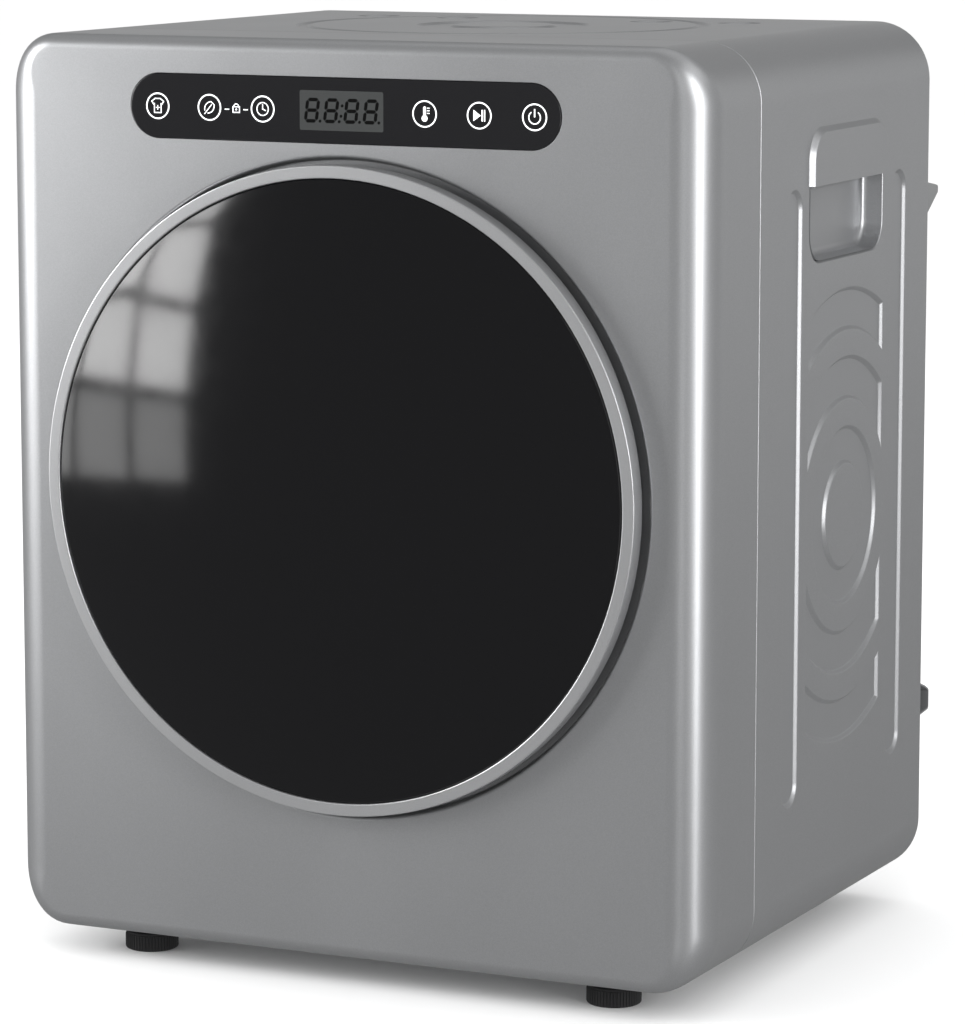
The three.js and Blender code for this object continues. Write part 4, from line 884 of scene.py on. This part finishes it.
def rear_spacer():
    """Bent sheet under the hood, the same section all along its length."""
    low, high = box_mm("rear_spacer")
    bends = [
        (low[1], high[2]),
        (high[1] - 8, high[2] - 6.5),
        (high[1], high[2] - 10.2),
        (high[1], low[2] + 2.5),
        (low[1], low[2]),
    ]
    outer = softened(bends, 2.5, 4)
    skin = Skin()
    centre = Vector((low[1], (low[2] + high[2]) / 2))
    inner = []
    for i, p in enumerate(outer):
        a, b = Vector(outer[max(0, i - 1)]), Vector(outer[min(len(outer) - 1, i + 1)])
        along = (b - a).normalized()
        normal = Vector((along.y, -along.x))
        if normal.dot(centre - Vector(p)) < 0:
            normal = -normal
        inner.append(tuple(Vector(p) + normal * SPACER_SHEET))
    for line in (outer, inner):
        skin.strip([(low[0], *p) for p in line], [(high[0], *p) for p in line], closed=False)
    for x in (low[0], high[0]):
        skin.strip([(x, *p) for p in outer], [(x, *p) for p in inner], closed=False)
    for p, q in ((outer[0], inner[0]), (outer[-1], inner[-1])):
        skin.face([(low[0], *p), (high[0], *p), (high[0], *q), (low[0], *q)])
    piece("rear_spacer_sheet", skin, "cabinet", "zinc", ("rear_spacer",), 30, HOOD_METAL)


def screw(name, x, y, z, body, radius):
    """Pan-head screw along Y with its head to the rear."""
    skin = Skin()
    profile = [(TINY, 1.5), (1.9, 1.45), (2.9, 1.1), (radius - 0.2, 0.45), (radius, 0)]
    turned(skin, [(r, y + height) for r, height in profile], x, z, 24)
    piece(name, skin, body, "zinc", (), 50)
    # the cross recess is a thin dark slab: painted shade in the hollow of the head
    cross_shade = Skin()
    for half_x, half_z in ((2.0, 0.35), (0.35, 2.0)):
        slab(cross_shade, oblong(x - half_x, z - half_z, x + half_x, z + half_z), y + 1.3, y + 1.53)
    piece(f"{name}_recess", cross_shade, body, "dark_plastic")


def rear_bead():
    """Raised frame on the rear panel."""
    half, low, high = 196, 176, 446
    radius, width = 22, 8
    skin = Skin()
    outer = rounded_rect(-half, low, half, high, (radius,) * 4)
    inner = rounded_rect(width - half, low + width, half - width, high - width, (radius - width,) * 4)
    slab(skin, outer, REAR_FACE + 0.02, REAR_FACE + 1.6, [inner])
    bead = piece("rear_bead", skin, "cabinet", "zinc")
    modifier = bead.modifiers.new("bevel", "BEVEL")
    modifier.width = 0.8 * MM
    modifier.segments = 3
    modifier.limit_method = "ANGLE"
    modifier.angle_limit = math.radians(35)
    modifier.harden_normals = True


def rear_louvres():
    """Two columns of louvres, each over a thin dark slab that paints the shade in its slit. A louvre's
    section is [height, distance out].
    """
    hoods, slit_shades = Skin(), Skin()
    arch = [(5, 0.02), (3.8, 1.5), (1.8, 2.7), (-1, 3.3), (-4, 3.4)]
    arch += [(-4, 2.7), (-1.2, 2.6), (1.4, 2.0), (3.0, 1.0), (3.8, 0.02)]
    half, pitch, lowest = 56, 15, 206
    for x in (-92, 92):
        for row in range(LOUVRE_ROWS):
            z = lowest + row * pitch
            sections = [[(x + end, REAR_FACE + out, z + up) for up, out in arch] for end in (-half, half)]
            hoods.strip(*sections)
            for section in sections:
                hoods.face(section)
            # a thin dark slab in each slit is painted shade where the opening is
            slit = oblong(x - half + 1, z - 3.6, x + half - 1, z + 2)
            slab(slit_shades, slit, REAR_FACE + 0.02, REAR_FACE + 0.3)
    piece("rear_louvres", hoods, "cabinet", "zinc", (), 40)
    piece("rear_louvre_slit_shade", slit_shades, "cabinet", "dark_plastic")


def rear_screws():
    spots = [(-222, 566), (-74, 576), (74, 576), (222, 566), (-226, 330), (226, 330)]
    spots += [(-222, 52), (0, 40), (222, 52)]
    for i, (x, z) in enumerate(spots):
        screw(f"rear_screw_{i + 1}", x, REAR_FACE + 0.05, z, "cabinet", 5)


# ---- controls ----
def control_fascia():
    skin = Skin()
    front, back = FASCIA_LOW[1], FASCIA_HIGH[1]
    edge, shoulder = 0.5, 3.0
    rounded = [laid(pill_outline(-inset), front + y) for y, inset in quarter_round(edge, 4)]
    body_loop = laid(pill_outline(0), shoulder)
    flange = [laid(pill_outline(FLANGE_OVERHANG), y) for y in (shoulder, back)]
    skin.strips([body_loop] + rounded)
    skin.strips([body_loop] + flange)
    window = display_outline(0.1)
    skin.fill(facing, front, pill_outline(-edge), [window])
    skin.fill(facing, back, pill_outline(FLANGE_OVERHANG), [window])
    skin.strip(laid(window, front), laid(window, back))
    piece("touch_fascia", skin, "cabinet", "black_gloss", ("control_fascia",), 35)


def display():
    """Display window with four seven-segment digits, their points and a colon."""
    skin = Skin()
    front = FASCIA_LOW[1] + 0.03
    slab(skin, display_outline(0), front, DISPLAY_HIGH[1])
    piece("display_window", skin, "cabinet", "display", ("display_module",), 30)
    digits = Skin()
    height, width, bar, slant = 15.4, 8.2, 2.2, 0.13
    dot = 0.95
    tip = bar / 2
    middle_z = (DISPLAY_LOW[2] + DISPLAY_HIGH[2]) / 2

    def mark(points, x):
        """One leaning mark of a digit whose middle is at x."""
        leaned = [(x + u + slant * v, middle_z + v) for u, v in points]
        slab(digits, leaned, front - 0.05, front - 0.01)

    def level_bar(v):
        half = width / 2 - 0.5
        right = [(half - tip, v - tip), (half, v), (half - tip, v + tip)]
        return [(-half, v), (-half + tip, v - tip), *right, (-half + tip, v + tip)]

    def upright_bar(u, low, high):
        right = [(u + tip, low + tip), (u + tip, high - tip)]
        return [(u, low), *right, (u, high), (u - tip, high - tip), (u - tip, low + tip)]

    reach = height / 2 - bar / 2
    for x in (-20.3, -7.0, 7.0, 20.3):
        for v in (-reach, 0, reach):
            mark(level_bar(v), x)
        for u in (-width / 2 + 0.3, width / 2 - 0.3):
            mark(upright_bar(u, -reach + 0.3, -0.3), x)
            mark(upright_bar(u, 0.3, reach - 0.3), x)
        mark(circle(width / 2 + 2.3, -reach, dot, 12), x)
    for v in (-3.2, 3.2):
        mark(circle(0, v, dot, 12), 0.2)
    piece("display_digits", digits, "cabinet", "dark_plastic", material=DIGIT_AND_HOLE_SHADE_BLACK)


def control_icons():
    """Generic white symbols, most of them in a ring, printed on the fascia and given a faint painted glow.
    """
    front = FASCIA_LOW[1]
    y0, y1 = front - INK_LIFT, front - 0.01
    z0 = PILL_Z - 0.2
    thin, fine, firm, bold = 0.5, 0.55, 0.6, 0.8  # widths of the lines
    ink = Skin()

    def shape(points, x):
        slab(ink, [(x + u, z0 + v) for u, v in points], y0, y1)

    def bent_line(points, x, width, closed=False):
        line = points + points[:1] if closed else points
        for (ua, va), (ub, vb) in zip(line, line[1:]):
            length = math.dist((ua, va), (ub, vb))
            du, dv = (ub - ua) / length * width / 2, (vb - va) / length * width / 2
            start = [(ua - du - dv, va - dv + du), (ua - du + dv, va - dv - du)]
            end = [(ub + du + dv, vb + dv - du), (ub + du - dv, vb + dv + du)]
            shape([start[1], *end, start[0]], x)

    def hoop(x, radius, width, v=0.0, start=0.0, end=2 * math.pi):
        steps = max(8, int(48 * (end - start) / (2 * math.pi)))
        outer = arc(x, z0 + v, radius, start, end, steps)
        inner = arc(x, z0 + v, radius - width, start, end, steps)
        if math.isclose(end - start, 2 * math.pi):
            slab(ink, outer[:-1], y0, y1, [inner[:-1]])
        else:
            slab(ink, outer + inner[::-1], y0, y1)

    for x in ICONS.values():
        hoop(x, 8.3, 0.85)

    x = ICONS["garment"]
    shirt = [(-4.2, 2.9), (-1.9, 4.6), (1.9, 4.6), (4.2, 2.9), (3.0, 1.0), (2.4, 1.4)]
    shirt += [(2.4, -4.2), (-2.4, -4.2), (-2.4, 1.4), (-3.0, 1.0)]
    bent_line(shirt, x, firm, True)
    bent_line([(-1.2, -1.0), (1.2, -1.0)], x, thin)
    bent_line([(0, -2.2), (0, 0.2)], x, thin)

    x = ICONS["leaf"]
    half_arc = 0.86
    blade = arc(-1.6, 0, 4.6, -half_arc, half_arc, 10)
    blade += arc(1.6, 0, 4.6, math.pi - half_arc, math.pi + half_arc, 10)
    c, s = math.cos(-0.7), math.sin(-0.7)
    bent_line([(u * c - v * s, u * s + v * c) for u, v in blade], x, fine)
    bent_line([(-3.4, -4.0), (1.4, 1.6)], x, fine)

    # padlock between dashes
    bent_line([(-2.3, -2.6), (2.3, -2.6), (2.3, 0.9), (-2.3, 0.9)], PADLOCK_X, firm, True)
    hoop(PADLOCK_X, 1.9, firm, 1.1, 0, math.pi)
    shape(circle(0, -0.8, 0.6, 12), PADLOCK_X)
    for u in (-6.6, 6.6):
        bent_line([(u - 1.3, -0.8), (u + 1.3, -0.8)], PADLOCK_X, firm)

    x = ICONS["clock"]
    hoop(x, 4.3, firm)
    bent_line([(0, 2.6), (0, 0), (2.0, -0.9)], x, firm)

    # thermometer
    x = ICONS["heat"]
    shape(circle(0, -2.7, 2.0, 20), x)
    shape([(-0.9, -1.6)] + arc(0, 3.7, 0.9, math.pi, 0, 6) + [(0.9, -1.6)], x)
    for v in (0.4, 2.0, 3.6):
        bent_line([(1.8, v), (3.2, v)], x, thin)

    # play and pause
    x = ICONS["play"]
    shape([(-3.9, -3.4), (1.0, 0), (-3.9, 3.4)], x)
    for u in (2.0, 3.6):
        bent_line([(u, -3.1), (u, 3.1)], x, bold)

    x = ICONS["power"]
    half_gap = 0.62
    hoop(x, 4.2, 0.7, -0.2, QUARTER + half_gap, QUARTER + 2 * math.pi - half_gap)
    bent_line([(0, 0.4), (0, 4.6)], x, bold)
    piece("control_icons", ink, "cabinet", "white_plastic", material=ICON_WHITE)


# ---- door ----
def notch_cut(obj):
    """Opens the hidden pocket in which the hinge's knuckles turn."""
    x, y, z = HINGE
    skin = Skin()
    block(skin, (x - 6, x + 10), (y - 4.4, 6), (z - 23, z + 23))
    cut_away(obj, skin)


def door_ring():
    inner = GLASS_RADIUS + 0.3
    skirt = RING_RADIUS - 2.5
    ledge, ledge_front, ledge_back = 180, -9, -7
    profile = [
        (inner, RING_FRONT),
        (RING_RADIUS, RING_FRONT),
        (RING_RADIUS, RING_BACK),
        (skirt, RING_BACK),
        (skirt, ledge_back),
        (ledge, ledge_back),
        (ledge, ledge_front),
        (inner, ledge_front),
    ]
    notch_cut(lathe("door_ring_trim", profile, "door", "satin_ring", "door_ring", 0.9, True, 192))


def door_glass():
    """Domed glass, hollow behind. Both faces are parts of spheres of one size."""
    rise = 26
    sphere = (GLASS_RADIUS**2 + rise**2) / (2 * rise)

    def shell(radius, y):
        r = max(TINY, radius)
        return (r, y + sphere - math.sqrt(sphere**2 - r**2))

    front, back = GLASS_LOW[1], GLASS_HIGH[1]
    dome = [shell((GLASS_RADIUS - 1.2) * i / 24, front) for i in range(25)]
    rim = [(GLASS_RADIUS - 0.35, front + rise + 0.1), (GLASS_RADIUS, front + rise + 0.8)]
    rim += [(GLASS_RADIUS, back), (GLASS_RADIUS - 8, back)]
    hollow = [shell((GLASS_RADIUS - 10) * (12 - i) / 12, front + 3.5) for i in range(13)]
    skin = Skin()
    turned(skin, dome + rim + hollow, 0, DOOR_Z, 192)
    piece("door_dome_glass", skin, "door", "door_glass", ("door_glass",), 40)


def door_liner():
    front, back = LINER_LOW[1], LINER_HIGH[1]
    plug, seat = 148, 178.5
    profile = [
        (TINY, back),
        (plug - 40, back - 1),
        (plug - 12, back - 4),
        (plug, 4),
        (seat, 4),
        (seat, front + 2.5),
        (GLASS_RADIUS, front + 2.5),
        (GLASS_RADIUS, front),
        (seat - 2.5, front),
        (seat - 2.5, 1.5),
        (plug - 2.5, 1.5),
        (plug - 14, back - 6.5),
        (TINY, back - 2.5),
    ]
    notch_cut(lathe("door_liner_shell", profile, "door", "dark_plastic", "door_liner", 2.2))


def door_seal():
    low, high = box_mm("door_seal")
    outer, front, back = high[0], low[1], high[1]
    profile = [
        (outer - 9, front),
        (outer, front),
        (outer - 0.8, back - 0.5),
        (outer - 3, back),
        (outer - 4.5, back - 1.2),
        (outer - 6, back),
        (outer - 8.2, back - 0.5),
    ]
    lathe("door_seal_lip", profile, "door", "rubber", "door_seal", 0.8, True)


def door_screws():
    """Screws round the liner's flange."""
    circle_radius = 186
    for i, angle in enumerate((0.5, 1.4, 1.75, 2.64, 3.64, 4.5, 4.9, 5.78)):
        x, z = circle_radius * math.cos(angle), DOOR_Z + circle_radius * math.sin(angle)
        screw(f"door_screw_{i + 1}", x, LINER_LOW[1] + 2.55, z, "door", 3.2)


# ---- drum and opening ----
def unrolled(obj, radius):
    """UV map with arc length round the drum's axis and distance along it."""
    mesh = obj.data
    layer = mesh.uv_layers.new(name="unrolled")
    for polygon in mesh.polygons:
        centre = math.atan2(polygon.center.z - DOOR_Z * MM, polygon.center.x)
        for loop in polygon.loop_indices:
            p = mesh.vertices[mesh.loops[loop].vertex_index].co
            angle = math.atan2(p.z - DOOR_Z * MM, p.x)
            angle += 2 * math.pi * round((centre - angle) / (2 * math.pi))
            layer.data[loop].uv = (angle * radius * MM, p.y)


def drum_shell():
    """Rolled sheet with a lip at its mouth. A whole number of hole pitches goes round it."""
    front, back = DRUM_LOW[1], DRUM_HIGH[1]
    wall, mouth, lip = DRUM_SHEET, 164, 7
    profile = [
        (mouth, front + lip),
        (mouth, front),
        (DRUM_RADIUS - 8, front),
        (DRUM_RADIUS, front + 8),
        (DRUM_RADIUS, back),
        (DRUM_RADIUS - wall, back),
        (DRUM_RADIUS - wall, front + 8.5),
        (DRUM_RADIUS - 8.5, front + wall),
        (mouth + wall, front + wall),
        (mouth + wall, front + lip),
    ]
    node = "drum_shell"
    shell = lathe("drum_shell_sheet", profile, "drum", "stainless", node, 1.6, True, 144, DRUM_STEEL)
    circumference = 2 * math.pi * (DRUM_RADIUS - wall)
    unrolled(shell, round(circumference / HOLE_PITCH) * HOLE_PITCH / (2 * math.pi))


def drum_back():
    """The drum's rear wall, with a shallow pressed ring, a well for the filter, and four rings of holes
    drawn as near-black discs of painted shade.
    """
    low, high = box_mm("drum_back")
    edge, front, back = high[0], low[1], high[1]
    wall, well, well_lip = DRUM_SHEET, 73, 13
    step = 1.0  # depth of the pressed ring
    profile = [
        (edge, front + wall),
        (edge, front),
        (150, front),
        (143, front + step),
        (96, front + step),
        (90, front),
        (well, front),
        (well, back - wall),
        (well - well_lip, back - wall),
        (well - well_lip, back),
        (well + wall, back),
        (well + wall, front + wall),
    ]
    lathe("drum_back_sheet", profile, "drum", "stainless", "drum_back", 1.2, True, 144)
    # near-black discs stand for the holes: painted shade on an uncut sheet
    hole_shade_spots = Skin()
    hole_rings = ((176, 54, 0, 0), (162, 48, 0.5, 0), (128, 36, 0, step), (112, 32, 0.5, step))
    for ring, count, shift, depth in hole_rings:
        for i in range(count):
            angle = 2 * math.pi * (i + shift) / count
            x, z = ring * math.cos(angle), DOOR_Z + ring * math.sin(angle)
            y = front - 0.02 + depth
            hole_shade_spots.face([facing((x + u, z + v), y) for u, v in circle(0, 0, 2.3, 12)])
    piece("drum_back_hole_shade", hole_shade_spots, "drum", "dark_plastic", material=DIGIT_AND_HOLE_SHADE_BLACK)


def lifter(i):
    """Drum baffle: a rounded ridge whose ends slope down to the drum."""
    node = f"drum_lifter_{i + 1}"
    low, high = box_mm(node)
    turn = QUARTER + i * 4 * QUARTER / LIFTERS
    seat = (DRUM_RADIUS - DRUM_SHEET) * math.cos(math.pi / 36) - 0.4
    crest = seat - 42
    half = 31 / seat
    skin = Skin()

    def section(share, y):
        top = seat - (seat - crest) * share
        blend = 9 * max(share, 0.25)
        outline = arc(0, 0, seat, -half, half, 10)
        outline += arc(top + blend, 0, blend, QUARTER, 3 * QUARTER, 12)
        c, s = math.cos(turn), math.sin(turn)
        return [(u * c - v * s, y, DOOR_Z + u * s + v * c) for u, v in outline]

    ramp = 26
    stations = [(math.sin(a), low[1] + ramp * (1 - math.cos(a))) for a in quarter_turn(8)[1:]]
    stations += [(share, low[1] + high[1] - y) for share, y in reversed(stations)]
    loops = [section(share, y) for share, y in stations]
    skin.strips(loops)
    skin.face(loops[0])
    skin.face(loops[-1])
    piece(f"lifter_ridge_{i + 1}", skin, "drum", "grey_plastic", (node,), 50)


def opening():
    low, high = box_mm("opening_collar")
    inner = OPENING_RADIUS + 0.5
    outer = inner + 2
    profile = [(inner, low[1]), (outer, low[1]), (outer, high[1]), (inner, high[1])]
    lathe("opening_sleeve", profile, "cabinet", "grey_plastic", "opening_collar", 0.6, True, 144)


def filter_cover():
    """Domed cover of the lint filter, cut by five slots."""
    low, high = box_mm("filter_grille")
    edge, front, back = high[0], low[1], high[1]
    wall, flat = 2.4, 20
    profile = [
        (TINY, front),
        (flat, front),
        (edge - 5, front + 2.8),
        (edge, back),
        (edge - 9, back),
        (flat, front + wall),
        (TINY, front + wall),
    ]
    name = "filter_cover_shell"
    cover = lathe(name, profile, "lint_tray", "grey_plastic", "filter_grille", 1.2)
    slots = Skin()
    half, pitch = 4, 16
    for i in (-2, -1, 0, 1, 2):
        reach = 50 - 5 * abs(i)
        z = DOOR_Z + i * pitch
        slot = rounded_rect(-reach, z - half, reach, z + half, (half - 0.1,) * 4, 6)
        slab(slots, slot, front - 3, back + 2)
    cut_away(cover, slots, 35)


# ---- stage ----
def area_light(name, place_m, aim_m, size, radiance):
    """A rectangular soft light that looks equally bright whatever its size."""
    data = bpy.data.lights.new(name, "AREA")
    data.shape = "RECTANGLE"
    data.size, data.size_y = size
    data.energy = radiance * math.pi * size[0] * size[1]
    light = linked(name, data)
    light.location = place_m
    direction = Vector(aim_m) - Vector(place_m)
    light.rotation_euler = direction.to_track_quat("-Z", "Y").to_euler()


def floor():
    """A pale floor, which isn't mirrored in the object."""
    level, mottling, reach = 0.93, 0.005, 40
    pale = Finish("pale_floor", (level,) * 3, 0.0, 0.75)
    pale.tint(pale.noise(3, 2.0), mottling / level)
    pale.set(Specular_IOR_Level=0.1)
    mesh = bpy.data.meshes.new("floor")
    mesh.from_pydata([(x, y, 0) for x, y in oblong(-reach, -reach, reach, reach)], [], [(0, 1, 2, 3)])
    plane = linked("floor", mesh)
    mesh.materials.append(pale.material)
    plane.visible_glossy = False
    plane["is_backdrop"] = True


def studio_world():
    """A white world, dimmer in mirror reflections than as light."""
    world = bpy.data.worlds.new("studio")
    bpy.context.scene.world = world
    world.use_nodes = True
    tree = world.node_tree
    background = tree.nodes["Background"]
    background.inputs["Color"].default_value = (1, 1, 1, 1)
    paths = tree.nodes.new("ShaderNodeLightPath")
    strength = tree.nodes.new("ShaderNodeMapRange")
    fill_inputs(strength.inputs, {"To Min": 1.15, "To Max": 0.235})
    tree.links.new(paths.outputs["Is Glossy Ray"], strength.inputs["Value"])
    tree.links.new(strength.outputs["Result"], background.inputs["Strength"])


def lights():
    """Soft lights, placed in metres."""
    centre = (0, 0, 0.32)
    area_light("strip_right", (2.75, -1.45, 0.55), centre, (0.48, 2.4), 18.0)
    area_light("strip_front", (1.15, -2.9, 0.55), centre, (0.24, 2.4), 3.2)
    area_light("rear_right", (2.2, 3.2, 0.9), centre, (2.4, 2.0), 0.25)
    area_light("rear_left", (-1.5, 3.0, 0.9), centre, (3.0, 1.6), 0.3)
    area_light("upper_right", (2.2, 0.0, 2.3), centre, (1.7, 1.3), 1.0)
    area_light("overhead", (0.2, 0.4, 2.9), centre, (2.6, 2.6), 0.35)
    # a window in panes on the left, seen as a soft reflection in the dome
    window_radiance = 17
    for row, share in enumerate((0.2, 0.6, 0.65, 0.55)):
        for column in range(4):
            pane = (-2.02 + 0.155 * column, -0.78 - 0.27 * column, 0.2 + 0.34 * row)
            name = f"window_{column}_{row}"
            area_light(name, pane, (-0.1, -0.2, 0.35), (0.27, 0.29), window_radiance * share)


def camera():
    """To the object's right and slightly above, from far off."""
    data = bpy.data.cameras.new("view")
    data.sensor_width = 36
    data.lens = 158.8
    data.clip_end = 100
    cam = linked("view", data)
    cam.location = (1.2686, -2.4842 + FACE_Y, 0.7341)
    cam.rotation_euler = (QUARTER - math.radians(8.72), 0, math.radians(25.27))
    bpy.context.scene.camera = cam


# ---- build ----
camera()
dress_frame()
front_panel()
cabinet_wrap()
for side_name, side_sign in (("left", -1), ("right", 1)):
    grip_cup(side_name, side_sign)
for foot_corner in ("front_left", "front_right", "rear_left", "rear_right"):
    foot(foot_corner)
exhaust_hood()
rear_spacer()
rear_bead()
rear_louvres()
rear_screws()
control_fascia()
display()
control_icons()
door_ring()
door_glass()
door_liner()
door_seal()
door_screws()
drum_shell()
drum_back()
for lifter_index in range(LIFTERS):
    lifter(lifter_index)
opening()
filter_cover()
floor()
studio_world()
lights()

scene = bpy.context.scene
scene.view_settings.view_transform = "Standard"
scene.view_settings.exposure = 0.0
seen_low, seen_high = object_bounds()
({
        "cad_box_m": [list(cad_low), list(cad_high)],
        "visual_box_m": [list(seen_low), list(seen_high)],
    })
